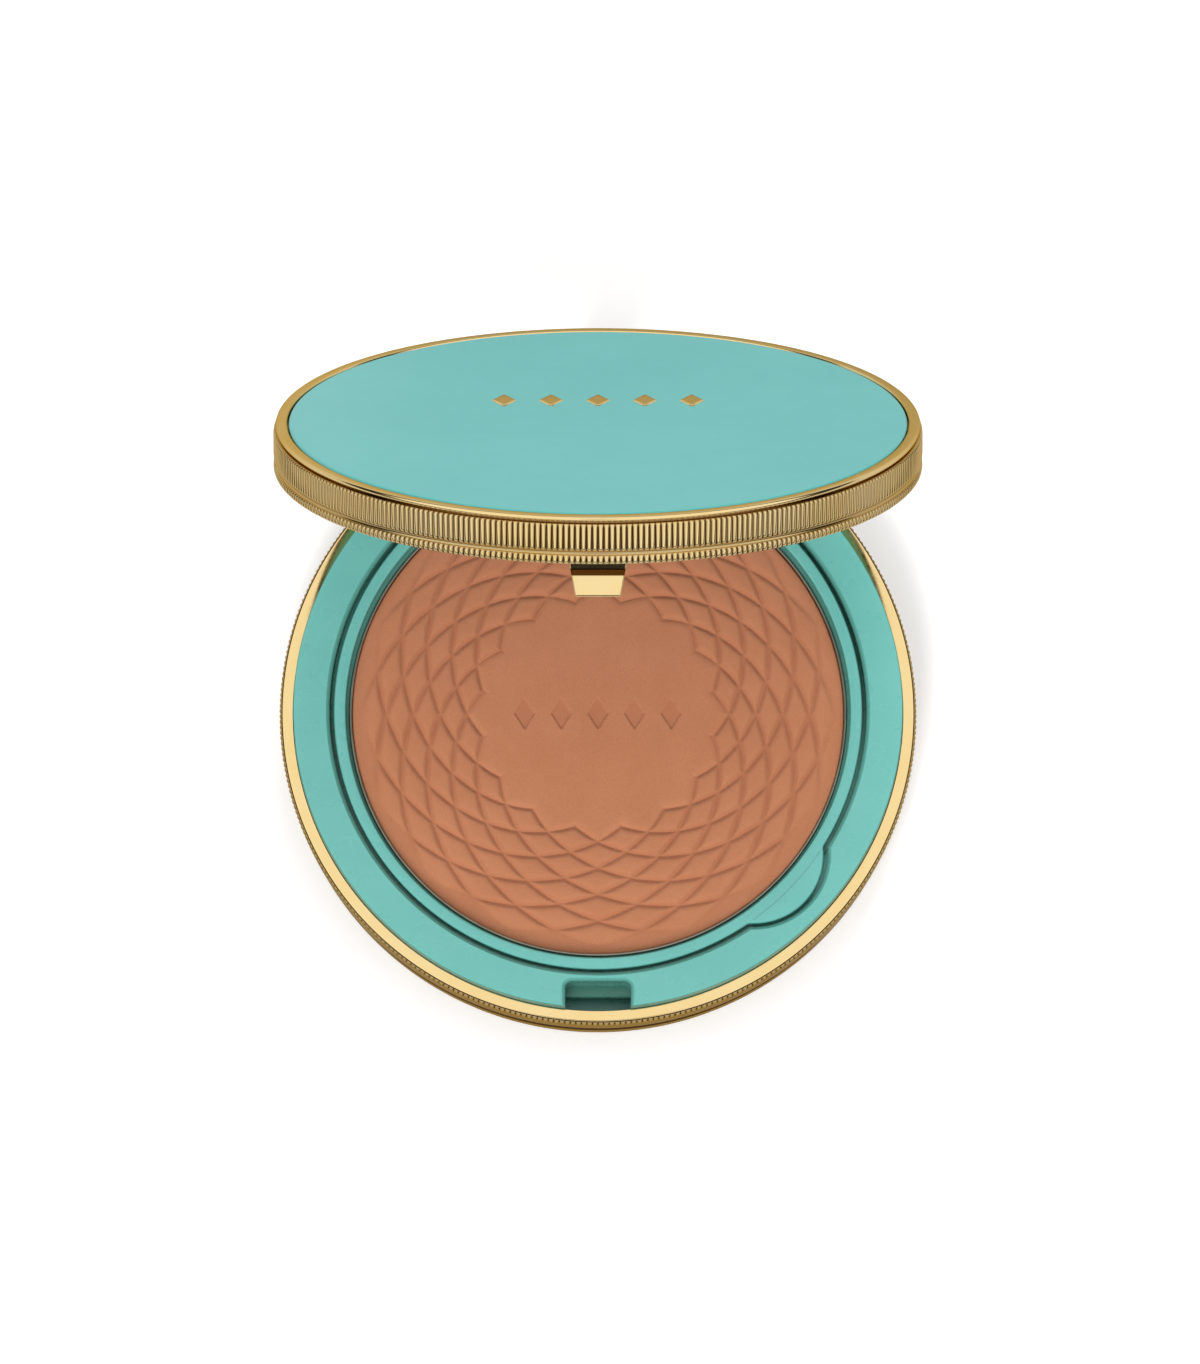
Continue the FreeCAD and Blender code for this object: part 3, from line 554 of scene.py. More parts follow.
class RimBuilder:
    """Rings of a rim from the bottom up: plain ones, and bands of rounded flutes."""

    def __init__(self):
        columns = FLUTES * FLUTE_STEPS
        self.turns = full_turn(columns)
        self.across = (np.arange(columns) % FLUTE_STEPS) / FLUTE_STEPS * 2 - 1
        self.shell = Shell()
        self.rings = []

    def ring(self, radius, height, painted_shade=0.0):
        radii = np.broadcast_to(radius, self.turns.shape)
        points = zip(radii * np.cos(self.turns), radii * np.sin(self.turns),
                     np.broadcast_to(height, self.turns.shape))
        loop = self.shell.loop(points)
        for index, value in zip(loop, np.broadcast_to(painted_shade, self.turns.shape)):
            self.shell.marks[index] = float(value)
        self.rings.append(loop)

    def plain(self, outline, painted_shade=0.0):
        for radius, height in outline:
            self.ring(radius, height, painted_shade)

    def flutes(self, tip, bottom, top):
        """Flutes that end in a rounded scallop at both ends."""
        valley = tip - FLUTE_DEPTH
        end = FLUTE_END * min(1.0, top - bottom)
        slopes = (1.0, 0.92, 0.75, 0.5, 0.2)
        marks = [(bottom + end * (1 - slope), slope) for slope in slopes]
        marks += [(bottom + (top - bottom) / 2, 0.0)]
        marks += [(top - end * (1 - slope), slope) for slope in reversed(slopes)]
        for height, slope in marks:
            swell = np.sqrt(np.maximum(0, 1 - self.across ** 2 - slope ** 2))
            # painted shade, growing from each crest towards the valleys
            self.ring(valley + FLUTE_DEPTH * swell, height, np.abs(self.across) ** 1.7)

    def knurl(self, tip, bottom, shoulder, top):
        """Short flutes that run up a wall and in over a sloping shoulder, where they die out."""
        depth = np.sqrt(np.maximum(0, 1 - self.across ** 2))
        for lean, height, share in ((0.0, 0.0, 0.0), (0.0, 0.06, 0.8), (0.0, 0.14, 1.0),
                                    (0.0, 0.38, 1.0), (0.12, 0.52, 1.0), (0.4, 0.74, 0.8),
                                    (0.7, 0.9, 0.4), (0.85, 0.96, 0.0), (1.0, 1.0, 0.0)):
            crest = tip + (shoulder - tip) * lean
            dip = FLUTE_DEPTH * (1.0 if height == 0 else share * (1 - depth))
            # painted shade: some everywhere, most in the valleys
            self.ring(crest - dip, bottom + (top - bottom) * height - dip * lean * 0.6,
                      (1 - depth) ** 2 * share * 0.7 + 0.3)

    def close(self):
        self.shell.stack(self.rings + self.rings[:1])
        return self.shell


def build_base_rim(gold):
    rim = RimBuilder()
    inside = COVER_RADIUS + COVER_GAP
    rim.plain([(inside, RIM_BOTTOM)])
    side = rounded([(inside, RIM_BOTTOM, 0), (FOOT_RADIUS, RIM_BOTTOM, FOOT_ROUND),
                    (FOOT_RADIUS, FOOT_TOP, FOOT_ROUND),
                    (COVE_RADIUS, FOOT_TOP + COVE_RISE, COVE_ROUND),
                    (COVE_RADIUS, COVE_TOP - COVE_FALL, COVE_ROUND),
                    (BAND_RADIUS, COVE_TOP, BAND_ROUND), (BAND_RADIUS, BAND_TOP, 0)])
    # painted shade: heavy in the cove, light on the foot and the band
    for radius, height in side[1:]:
        in_cove = radius < FOOT_RADIUS - 0.03 and 1 < height < COVE_TOP
        rim.plain([(radius, height)], 0.95 if in_cove else 0.2)
    rim.knurl(RIM_RADIUS, BAND_TOP + 0.02, KNURL_TOP_RADIUS, RIM_TOP - KNURL_FALL)
    # a fine groove, painted dark with shade, then the flat top with broken edges
    edge, edge_height = TOP_FACE_RADIUS, RIM_TOP - TOP_LEAN
    rim.plain([(edge + 0.12, RIM_TOP - 0.3), (edge + 0.05, RIM_TOP - 0.28)], 1.0)
    rim.plain([(edge + 0.01, edge_height - 0.02), (edge - 0.04, edge_height),
               (edge - 0.12, edge_height + 0.01), (RIM_BORE + 0.1, RIM_TOP), (RIM_BORE + 0.04, RIM_TOP)])
    # painted shade along the bore's top edge
    rim.plain([(RIM_BORE, RIM_TOP - 0.05)], 1.0)
    rim.plain([(RIM_BORE, LEDGE_TOP), (FLANGE_BORE, LEDGE_TOP), (FLANGE_BORE, LEDGE_BOTTOM),
               (inside, LEDGE_BOTTOM)])
    place("base_rim", rim.close(), "base", gold, ["base_rim_ring"], 50)


def build_lid_rim(gold):
    rim = RimBuilder()
    valley = RIM_RADIUS - FLUTE_DEPTH
    rim.plain([(SKIRT_BORE, LID_BOTTOM), (valley, LID_BOTTOM)])
    rim.flutes(LID_RADIUS, LID_BOTTOM + 0.03, SHORT_FLUTE_TOP)
    middle, half = (SHORT_FLUTE_TOP + GROOVE_TOP) / 2, (GROOVE_TOP - SHORT_FLUTE_TOP) / 2 - 0.02
    # the groove between the flute bands, with painted shade deepest at its bottom
    for turn in np.linspace(0, math.pi, 9):
        depth = (valley - LID_GROOVE_RADIUS) * math.sin(turn)
        rim.plain([(valley - depth, middle - half * math.cos(turn))], 0.45 * math.sin(turn))
    rim.flutes(LID_RADIUS, GROOVE_TOP, TALL_FLUTE_TOP)
    crown = rounded([(RIM_BORE, TALL_FLUTE_TOP, 0), (STEP_RADIUS, TALL_FLUTE_TOP + 0.06, 0),
                     (STEP_RADIUS, STEP_TOP, 0), (STEP_RADIUS + 0.05, STEP_TOP + 0.02, 0)], 6)
    # painted shade on the step below the bead
    rim.plain(crown[1:], 0.7)
    half = BEAD_HEIGHT / 2
    rim.plain(arc((BEAD_RADIUS - half, BEAD_TOP - half), half, math.radians(-72), math.pi / 2, 10))
    rim.plain(rounded([(BEAD_RADIUS - half, BEAD_TOP, 0), (PANEL_BORE, BEAD_TOP, 0.25),
                       (PANEL_BORE, WEB_TOP, 0)], 4)[1:])
    rim.plain([(WEB_BORE, WEB_TOP), (WEB_BORE, WEB_BOTTOM), (SKIRT_BORE, WEB_BOTTOM)])
    place("lid_rim", rim.close(), "lid", gold, ["lid_rim_ring"], 50)


# ---------------------------------------------------------------- base tray and cassette

def build_tray(plastic):
    """The deck with its round well, the bay for the finger tab and the latch recess."""
    shell = Shell()

    def deck_edge(radius, grow):
        """The outer circle, cut by the recess; grow widens the recess."""
        half, inner = RECESS_HALF + grow, RECESS_INNER - grow
        start = math.asin(half / radius) - math.pi / 2
        round_part = arc((0, 0), radius, start, 3 * math.pi / 2 - math.asin(half / radius), 300)
        corner = RECESS_CORNER + grow
        left, right = round_part[-1], round_part[0]
        bay = rounded([(*left, 0), (-half, -inner, corner), (half, -inner, corner), (*right, 0)], 8)
        return round_part, bay[1:-1]

    wide_round, wide_bay = deck_edge(TRAY_RADIUS - DECK_ROUND, MOUTH_BEVEL)
    true_round, true_bay = deck_edge(TRAY_RADIUS, 0.0)
    top = shell.level(wide_round + wide_bay, DECK_TOP)
    shoulder = shell.level(true_round, DECK_TOP - DECK_ROUND)
    shoulder += shell.level(true_bay, DECK_TOP - MOUTH_BEVEL)
    shell.bridge(top, shoulder)
    floor_level = shell.level(true_round + true_bay, RECESS_FLOOR)
    # painted shade down the deck's outer wall, the recess's walls and its floor
    shell.mark(floor_level, 0.4)
    shell.mark(shoulder, 0.8)
    shell.bridge(shoulder, floor_level)
    half_mouth = math.asin(RECESS_HALF / TRAY_RADIUS)
    sill_arc = arc((0, 0), TRAY_RADIUS, -math.pi / 2 - half_mouth, -math.pi / 2 + half_mouth, 12)
    mouth = shell.level(sill_arc[1:-1], RECESS_FLOOR)
    outer, bay = floor_level[:len(true_round)], floor_level[len(true_round):]
    shell.fill([outer[-1]] + bay + [outer[0]] + mouth[::-1])
    lower = outer + mouth
    foot = shell.repeat(lower, TRAY_BOTTOM)
    shell.bridge(lower, foot)
    shell.cap(foot)

    wide_well = lobed(WELL_RADIUS + MOUTH_BEVEL, TAB_WELL_ARC + MOUTH_BEVEL, TAB_BLEND - MOUTH_BEVEL)
    true_well = lobed(WELL_RADIUS, TAB_WELL_ARC, TAB_BLEND)
    lip = shell.level(wide_well[0] + wide_well[1], DECK_TOP)
    shell.fill(top, lip)
    sill = shell.level(true_well[0] + true_well[1], DECK_TOP - MOUTH_BEVEL)
    # painted shade on the well's mouth
    shell.mark(sill, 0.75)
    shell.bridge(lip, sill)
    around = shell.shut_lobe(sill, true_well, WELL_RADIUS, TAB_WELL_FLOOR)[0]
    floor = shell.repeat(around, WELL_FLOOR)
    shell.bridge(around, floor)
    shell.cap(floor)
    place("deck_tray", shell, "base", plastic, ["base_tray"], 30)


def build_cassette(plastic):
    """The refill's ring and cup with its finger tab, and the fine seam across the tab's root."""
    shell = Shell()
    levels = []
    for turn in np.linspace(math.pi / 2, 0, 6):
        back = CASSETTE_ROUND * (1 - math.cos(turn))
        outline = lobed(CASSETTE_RADIUS - back, TAB_ARC - back, TAB_BLEND + back)
        levels.append(shell.level(outline[0] + outline[1],
                                  CASSETTE_TOP - CASSETTE_ROUND * (1 - math.sin(turn))))
    shell.stack(levels)
    around, start, end = shell.shut_lobe(levels[-1], lobed(CASSETTE_RADIUS, TAB_ARC, TAB_BLEND),
                                         CASSETTE_RADIUS, CASSETTE_TOP - TAB_THICKNESS)
    below = [around]
    # painted shade on the cassette's outer wall and ribs
    for radius, height in ((RIB_RADIUS, RIB_TOP), (RIB_RADIUS, RIB_TOP - 0.4),
                           (CASSETTE_RADIUS, RIB_TOP - 0.5), (CASSETTE_RADIUS, WELL_FLOOR)):
        below.append(shell.repeat(around, height, radius / CASSETTE_RADIUS))
        shell.mark(below[-1], 0.75)
    shell.mark(around, 0.75)
    shell.stack(below)
    shell.cap(below[-1])
    turns = full_turn(300)
    bores = []
    for turn in np.linspace(math.pi / 2, 0, 5):
        bores.append(shell.ring(CASSETTE_BORE + BORE_ROUND * (1 - math.cos(turn)),
                                CASSETTE_TOP - BORE_ROUND * (1 - math.sin(turn)), turns))
    shell.fill(levels[0], bores[0])
    # painted shade down the bore and its ribs
    for radius, height in ((CASSETTE_BORE, RIB_TOP + 0.1), (INNER_RIB_RADIUS, RIB_TOP + 0.02),
                           (INNER_RIB_RADIUS, RIB_TOP - 0.4), (CASSETTE_BORE, RIB_TOP - 0.5),
                           (CASSETTE_BORE, CASSETTE_FLOOR)):
        bores.append(shell.ring(radius, height, turns))
        shell.mark(bores[-1], 0.75)
    shell.stack(bores)
    shell.cap(bores[-1])

    seam = []
    for x, y in arc((0, 0), CASSETTE_RADIUS, start + 0.03, end - 0.03, 40):
        section = []
        for turn in full_turn(6):
            grow = 1 + SEAM_BEAD * math.cos(turn) / CASSETTE_RADIUS
            section.append((x * grow, y * grow, CASSETTE_TOP + SEAM_BEAD * (math.sin(turn) - 0.4)))
        seam.append(shell.loop(section))
    shell.stack(seam)
    shell.cap(seam[0])
    shell.cap(seam[-1])
    place("cassette", shell, "base", plastic, ["refill_cassette"], 30)


def build_underside(plastic, foil):
    """The bottom cover with a shallow groove and the label's bed, and the blank label."""
    bed = LABEL_RADIUS + 0.2
    inner, outer = COVER_GROOVE
    rings = [(0.0, LABEL_TOP), (bed, LABEL_TOP), (bed, COVER_BOTTOM + 0.03),
             (bed + 0.05, COVER_BOTTOM), (inner, COVER_BOTTOM), (inner + 0.2, COVER_BOTTOM + 0.25),
             (outer - 0.2, COVER_BOTTOM + 0.25), (outer, COVER_BOTTOM), (COVER_RADIUS - 0.3, COVER_BOTTOM),
             (COVER_RADIUS, COVER_BOTTOM + 0.3), (COVER_RADIUS, COVER_TOP), (0.0, COVER_TOP)]
    place("bottom_cover", lathe(rings, 300), "base", plastic,
          ["base_bottom_cover"])
    label = [(0.0, LABEL_BOTTOM), (LABEL_RADIUS - 0.04, LABEL_BOTTOM), (LABEL_RADIUS, LABEL_BOTTOM + 0.03),
             (LABEL_RADIUS, LABEL_TOP), (0.0, LABEL_TOP)]
    place("blank_label", lathe(label), "base", foil, ["base_label"])


# ---------------------------------------------------------------- refill

def build_pan(aluminium):
    bore = PAN_RADIUS - PAN_WALL
    section = rounded([(PAN_RADIUS, PAN_BOTTOM, 0.3), (PAN_RADIUS, PAN_TOP, 0.15),
                       (bore, PAN_TOP, 0.15), (bore, PAN_BOTTOM + PAN_WALL, 0.1)])
    profile = [(0.0, PAN_BOTTOM)] + section + [(0.0, PAN_BOTTOM + PAN_WALL)]
    place("pan", lathe(profile, 300), "base", aluminium, ["powder_pan"])


def lozenge(middle, halves, grow, rounding, steps):
    """A lozenge with its tips along X and Y, grown by this much along X."""
    (x, y), (wide, tall) = middle, (halves[0] + grow, halves[1] + grow * 1.6)
    return rounded([(x + wide, y, rounding), (x, y + tall, rounding),
                    (x - wide, y, rounding), (x, y - tall, rounding)], steps)


def press_height(first, second, fade):
    """Height and depth share of the pressed relief, from the two coordinates of a cell."""
    away = [min(value, 1 - value) * CELL_WIDTH for value in (first, second)]
    inward = [max(0.0, 1 - gap / GROOVE_HALF) for gap in away]
    groove = max(share ** 2 * (3 - 2 * share) for share in inward) * fade
    swell = math.sqrt(max(0.0, 16 * first * (1 - first) * second * (1 - second))) * fade
    height = CAKE_TOP - PILLOW_RISE * (1 - swell) - (GROOVE_DEPTH - PILLOW_RISE) * groove
    return height, groove


def build_powder(powder):
    """A cake with a woven lattice of grooves round a plain middle, and a row of lozenges in it."""
    shell = Shell()
    sector = 2 * math.pi / WEAVE_SPOKES
    front = -math.pi / 2
    shares = [0, 0.035, 0.07, 0.105, 0.14, 0.22, 0.35, 0.5, 0.65, 0.78, 0.86, 0.895, 0.93, 0.965, 1]
    made = {}

    def weave_point(spoke, ring, first, second):
        """A point of the cell whose inner corner is at this spoke and ring."""
        lean = spoke + (first - second)
        out = ring + first + second
        key = (round(lean * 1000) % (WEAVE_SPOKES * 1000), round(out * 1000))
        if key not in made:
            radius = WEAVE_START + WEAVE_STEP * out
            fade = min(1.0, max(0.0, (WEAVE_RINGS + 1.15 - out) / 1.3))
            height, groove = press_height(first, second, fade)
            turn = front + lean * sector
            made[key] = shell.ring(radius, height, [turn])[0]
            # painted shade in the grooves
            shell.marks[made[key]] = groove * 0.3
        return made[key]

    def bearings(loop):
        return [math.atan2(shell.points[index][1], shell.points[index][0]) for index in loop]

    for ring in range(WEAVE_RINGS):
        for spoke in range(1 - ring % 2, WEAVE_SPOKES, 2):
            grid = [[weave_point(spoke, ring, a, b) for b in shares] for a in shares]
            shell.stack(grid, closed=False)

    # the plain middle, out to the inner corners of the lattice
    plain = CAKE_TOP - PILLOW_RISE
    inner_edge = []
    for spoke in range(1, WEAVE_SPOKES, 2):
        inner_edge += [weave_point(spoke, 0, share, 0) for share in shares[:-1]]
        inner_edge += [weave_point(spoke + 2, 0, 0, share) for share in reversed(shares[1:])]
    loops = [inner_edge]
    for scale in (0.985, 0.965, 0.94, 0.9):
        remains = max(0, (scale - 0.94) / 0.06) ** 2
        loops.append(shell.loop([(x * scale, y * scale, plain + (z - plain) * remains)
                                 for x, y, z in (shell.points[index] for index in inner_edge)]))
    loops.append(shell.ring(PLAIN_RADIUS, plain, bearings(inner_edge)))
    shell.stack(loops)
    lozenges = []
    for number in range(LOZENGES):
        middle = (number - (LOZENGES - 1) / 2) * PRESSED_PITCH
        rows = []
        for grow, depth in ((0.3, 0.0), (0.14, 0.0), (0.07, 0.04), (0.0, 0.14), (-0.12, 0.2),
                            (-0.3, 0.22)):
            outline = lozenge((middle, 0.0), PRESSED_HALF, grow, 0.15, 4)
            rows.append(shell.level(outline, plain - depth))
            # painted shade in the lozenges' pits, deeper down
            shell.mark(rows[-1], depth)
        shell.stack(rows)
        shell.cap(rows[-1])
        lozenges.append(rows[0])
    shell.fill(loops[-1], *lozenges)

    # the soft rim outside the lattice
    outer_edge = []
    last = WEAVE_RINGS - 1
    for spoke in range(1 - last % 2, WEAVE_SPOKES, 2):
        outer_edge += [weave_point(spoke, last, share, 1) for share in shares[:-1]]
        outer_edge += [weave_point(spoke, last, 1, share) for share in reversed(shares[1:])]
    turned = sorted(set(outer_edge), key=lambda index: bearings([index])[0])
    rims = [turned]
    for share in (0.25, 0.5, 0.75, 1.0):
        ring = []
        for index in turned:
            x, y, z = shell.points[index]
            reach = math.hypot(x, y)
            target = reach + (CAKE_RADIUS - CAKE_ROUND - reach) * share
            ring.append((x / reach * target, y / reach * target, z + (plain - z) * min(1, share * 1.5)))
        rims.append(shell.loop(ring))
    for radius, height in ((CAKE_RADIUS - 0.08, plain - 0.04), (CAKE_RADIUS, plain - 0.14),
                           (CAKE_RADIUS, CAKE_BOTTOM)):
        rims.append(shell.ring(radius, height, bearings(turned)))
    shell.stack(rims)
    shell.cap(rims[-1])
    place("powder_cake", shell, "base", powder, ["pressed_powder"], 60)


# ---------------------------------------------------------------- lid

def build_panel(lacquer):
    """The domed panel, with painted shade on its rounded edge."""
    rise = PANEL_CROWN - PANEL_EDGE
    dome = (PANEL_RADIUS ** 2 + rise ** 2) / (2 * rise)
    profile = [(0.0, PANEL_BOTTOM), (PANEL_RADIUS, PANEL_BOTTOM)]
    profile += rounded([(PANEL_RADIUS, PANEL_BOTTOM, 0), (PANEL_RADIUS, PANEL_EDGE, PANEL_ROUNDING),
                        (0.0, PANEL_EDGE + 0.3, 0)], 10)[1:-1]
    for radius in np.linspace(PANEL_RADIUS - 0.8, 0, 24):
        profile.append((radius, PANEL_CROWN - dome + math.sqrt(dome ** 2 - radius ** 2)))
    columns, marked_rings = 360, 6
    shell = lathe(profile, columns)
    # painted shade on the first rings, round the edge
    shell.mark(range(columns * marked_rings), 1.0)
    place("panel", shell, "lid", lacquer, ["lid_panel"])


def build_ornament(gold):
    """Five plain lozenges with bevelled edges, let into the panel."""
    shell = Shell()
    for number in range(LOZENGES):
        middle = (number - (LOZENGES - 1) / 2) * LOZENGE_PITCH
        rows = []
        for shrink, height in ((0.0, LOZENGE_TOP - 0.3), (0.0, LOZENGE_TOP - 0.12),
                               (0.05, LOZENGE_TOP - 0.04), (0.14, LOZENGE_TOP), (0.45, LOZENGE_TOP)):
            outline = lozenge((middle, LOZENGE_ROW), LOZENGE_HALF, -shrink, 0.1, 3)
            rows.append(shell.level(outline, height))
        shell.stack(rows)
        shell.cap(rows[0])
        shell.cap(rows[-1])
    place("ornament", shell, "lid", gold, ["lid_ornament"])


def build_lid_inside(plastic, glass):
    section = rounded([(MIRROR_SEAT, SEAT_FLOOR, 0.1), (MIRROR_SEAT, INNER_BOTTOM, 0.3),
                       (INNER_RADIUS, INNER_BOTTOM, 0.25), (INNER_RADIUS, INNER_TOP, 0)], 6)
    profile = [(0.0, INNER_TOP), (0.0, SEAT_FLOOR)] + section
    place("inner_tray", lathe(profile, 300), "lid", plastic, ["lid_inner_tray"])
    face = [(0.0, MIRROR_BACK), (MIRROR_RADIUS, MIRROR_BACK),
            (MIRROR_RADIUS, MIRROR_FACE + MIRROR_BEVEL * 0.7),
            (MIRROR_RADIUS - MIRROR_BEVEL * 2.5, MIRROR_FACE), (0.0, MIRROR_FACE)]
    place("looking_glass", lathe(face, 300), "lid", glass, ["mirror"], 5)


def build_hook(gold):
    """The polished latch hook: a tapered blade with softened edges and a barb behind its tip."""
    back = HOOK_FRONT - HOOK_THICKNESS
    shell = Shell()
    loops = []
    flare_start = LID_BOTTOM - FLARE_HEIGHT
    shade_end = flare_start - HOOK_SHADE
    heights = [HOOK_ROOT] + [flare_start + FLARE_HEIGHT * step / 8 for step in range(8, -1, -1)]
    heights += [flare_start - 0.06, flare_start - 0.3, shade_end + 0.1, shade_end - 0.05,
                flare_start - 1.1]
    heights += [HOOK_TIP + above for above in (0.5, 0.3, HOOK_ROUND, 0.06, 0.0)]
    for height in heights:
        share = min(1.0, max(0.0, (LID_BOTTOM - height) / (LID_BOTTOM - HOOK_TIP)))
        half = HOOK_TOP_HALF + (HOOK_TIP_HALF - HOOK_TOP_HALF) * share
        into_round = max(0.0, HOOK_TIP + HOOK_ROUND - height)
        tuck = HOOK_ROUND - math.sqrt(max(0.0, HOOK_ROUND ** 2 - into_round ** 2))
        lean = HOOK_FLARE * min(1.0, max(0.0, (height - flare_start) / FLARE_HEIGHT))
        front = -HOOK_FRONT + tuck - lean
        loops.append(shell.level(rounded([(-half + tuck, front, 0.2),
                                          (half - tuck, front, 0.2),
                                          (half - tuck, -back - tuck, 0.1),
                                          (-half + tuck, -back - tuck, 0.1)], 4), height))
        # painted shade: light on the lean, full on the strip below it, none lower down
        shell.mark(loops[-1], 0.25 if lean > 0.05 else float(height > shade_end))
    shell.stack(loops)
    shell.cap(loops[0])
    shell.cap(loops[-1])
    half = HOOK_TIP_HALF - BARB_INSET
    nib = [(-back - 0.05, HOOK_TIP + 0.3), (-back + BARB_DEPTH, HOOK_TIP + 0.45),
           (-back + BARB_DEPTH, HOOK_TIP + 0.65), (-back - 0.05, HOOK_TIP + 1.1)]
    shell.absorb(prism([[(side * half, y, z) for y, z in nib] for side in (-1, 1)]))
    place("hook", shell, "lid", gold, ["latch_hook"], 30)


# ---------------------------------------------------------------- latch catch and hinge

def build_catch(plastic):
    """A ledge across the whole recess, rounded to its corners, with a softened front edge."""
    half, bottom, top = extent("latch_catch")
    low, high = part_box("latch_catch")
    front, back = low.y / MM, high.y / MM
    shell = Shell()
    levels = [(0.0, bottom)]
    levels += [(CATCH_ROUND * (1 - math.cos(turn)), top - CATCH_ROUND * (1 - math.sin(turn)))
               for turn in np.linspace(0, math.pi / 2, 6)]
    loops = []
    for inset, height in levels:
        outline = rounded([(half, back, RECESS_CORNER), (-half, back, RECESS_CORNER),
                           (-half, front + inset, 0), (half, front + inset, 0)], 8)
        loops.append(shell.level(outline, height))
        # painted shade over the whole ledge
        shell.mark(loops[-1], 1.0)
    shell.stack(loops)
    shell.cap(loops[0])
    shell.cap(loops[-1])
    place("catch", shell, "base", plastic, ["latch_catch"])


def against_rim(x, y):
    """Keep a point of the hinge off the axis side of the rim, just inside the flutes' tips."""
    return max(y, math.sqrt((RIM_RADIUS - FLUTE_DEPTH) ** 2 - x ** 2))


def barrel_section(start, end, parts):
    """The round of a knuckle, from one angle to another about the hinge axis."""
    return arc((AXIS_BACK, AXIS_HEIGHT), KNUCKLE_RADIUS, start, end, parts)


def build_hinge(gold, steel):
    front = RIM_RADIUS - SEAT_REACH
    back = AXIS_BACK + KNUCKLE_RADIUS

    def slices(section, low, high):
        return [[(x, against_rim(x, y), z) for y, z in section] for x in np.linspace(low, high, 9)]

    chamfer = [(front, BRIDGE_BOTTOM), (back - BRIDGE_BEVEL, BRIDGE_BOTTOM)]
    cheek = chamfer + [(back, BRIDGE_BOTTOM + BRIDGE_BEVEL)]
    cheek += barrel_section(0.0, math.pi / 2, 12)
    cheek += [(front, BRACKET_TOP)]
    bar = chamfer + [(back, BRIDGE_BOTTOM + BRIDGE_BEVEL - 0.05), (back, BRIDGE_TOP), (front, BRIDGE_TOP)]
    shell = Shell()
    for low, high, section in ((-BRACKET_HALF, -KNUCKLE_GAP_HALF, cheek),
                               (KNUCKLE_GAP_HALF, BRACKET_HALF, cheek),
                               (-KNUCKLE_GAP_HALF - 0.2, KNUCKLE_GAP_HALF + 0.2, bar)):
        shell.absorb(prism(slices(section, low, high)))
    place("hinge_bracket", shell, "base", gold, ["base_hinge_bracket"],
          bevel=HINGE_BEVEL)

    clear = RIM_RADIUS + LUG_CLEARANCE
    arm = [(clear, AXIS_HEIGHT)] + barrel_section(-math.pi, 0.0, 20)[1:]
    arm += [(back, LUG_WAIST), (LUG_NOSE, LUG_TOP), (front, LUG_TOP), (front, LUG_SHOULDER),
            (clear, LUG_SHOULDER)]
    place("hinge_lug", prism(slices(arm, -LUG_HALF, LUG_HALF)), "lid", gold,
          ["lid_hinge_lug"], bevel=HINGE_BEVEL)

    turn = Matrix.Translation((0, AXIS_BACK, AXIS_HEIGHT)) @ Matrix.Rotation(math.pi / 2, 4, "Y")

    def across(shell):
        shell.points = [tuple(turn @ Vector(point)) for point in shell.points]
        return shell

    end = [(0.0, PIN_HALF), (PIN_RADIUS - PIN_ROUND, PIN_HALF), (PIN_RADIUS - 0.07, PIN_HALF - 0.07),
           (PIN_RADIUS, PIN_HALF - PIN_ROUND)]
    pin = [(radius, -along) for radius, along in end] + end[::-1]
    place("pin", across(lathe(pin, 64)), "base", steel, ["hinge_pin"])
    washers = Shell()
    for side in (-1, 1):
        middle = side * (LUG_HALF + KNUCKLE_GAP_HALF) / 2
        low, high = middle - WASHER_THICKNESS / 2, middle + WASHER_THICKNESS / 2
        section = rounded([(PIN_RADIUS + WASHER_GAP, low, 0), (WASHER_RADIUS, low, 0.08),
                           (WASHER_RADIUS, high, 0.08), (PIN_RADIUS + WASHER_GAP, high, 0)], 3)
        washers.absorb(across(lathe(section, 64)))
    place("washers", washers, "base", steel, ["hinge_washers"])


# ---------------------------------------------------------------- stage

def make_world():
    """A bright light tent over a dark horizon, with the dark spot where the camera looks in."""
    scene = bpy.context.scene
    world = bpy.data.worlds.new("tent")
    world.use_nodes = True
    scene.world = world
    tree = world.node_tree
    tree.nodes.clear()

    def add(kind, **settings):
        return add_node(tree, kind, **settings)

    def ramp(source, edges, light):
        node = add("ShaderNodeMapRange", interpolation_type="SMOOTHSTEP")
        for name, value in zip(("From Min", "From Max", "To Min", "To Max"), edges + light):
            node.inputs[name].default_value = value
        tree.links.new(source, node.inputs["Value"])
        return node.outputs["Result"]

    direction = add("ShaderNodeTexCoord").outputs["Generated"]
    split = add("ShaderNodeSeparateXYZ")
    tree.links.new(direction, split.inputs[0])
    apart = add("ShaderNodeVectorMath", operation="DISTANCE")
    tree.links.new(direction, apart.inputs[0])
    apart.inputs[1].default_value = DARK_SPOT
    strength = add("ShaderNodeMath", operation="MULTIPLY")
    tree.links.new(ramp(split.outputs["Z"], TENT_FOOT, TENT_LIGHT), strength.inputs[0])
    tree.links.new(ramp(apart.outputs["Value"], SPOT_EDGE, SPOT_LIGHT), strength.inputs[1])
    tent = add("ShaderNodeBackground")
    tree.links.new(strength.outputs[0], tent.inputs["Strength"])
    seen = add("ShaderNodeBackground")
    seen.inputs["Color"].default_value = (0.93, 0.94, 0.95, 1)
    path = add("ShaderNodeLightPath")
    choose = add("ShaderNodeMixShader")
    tree.links.new(path.outputs["Is Camera Ray"], choose.inputs[0])
    tree.links.new(tent.outputs[0], choose.inputs[1])
    tree.links.new(seen.outputs[0], choose.inputs[2])
    output = add("ShaderNodeOutputWorld")
    tree.links.new(choose.outputs[0], output.inputs["Surface"])


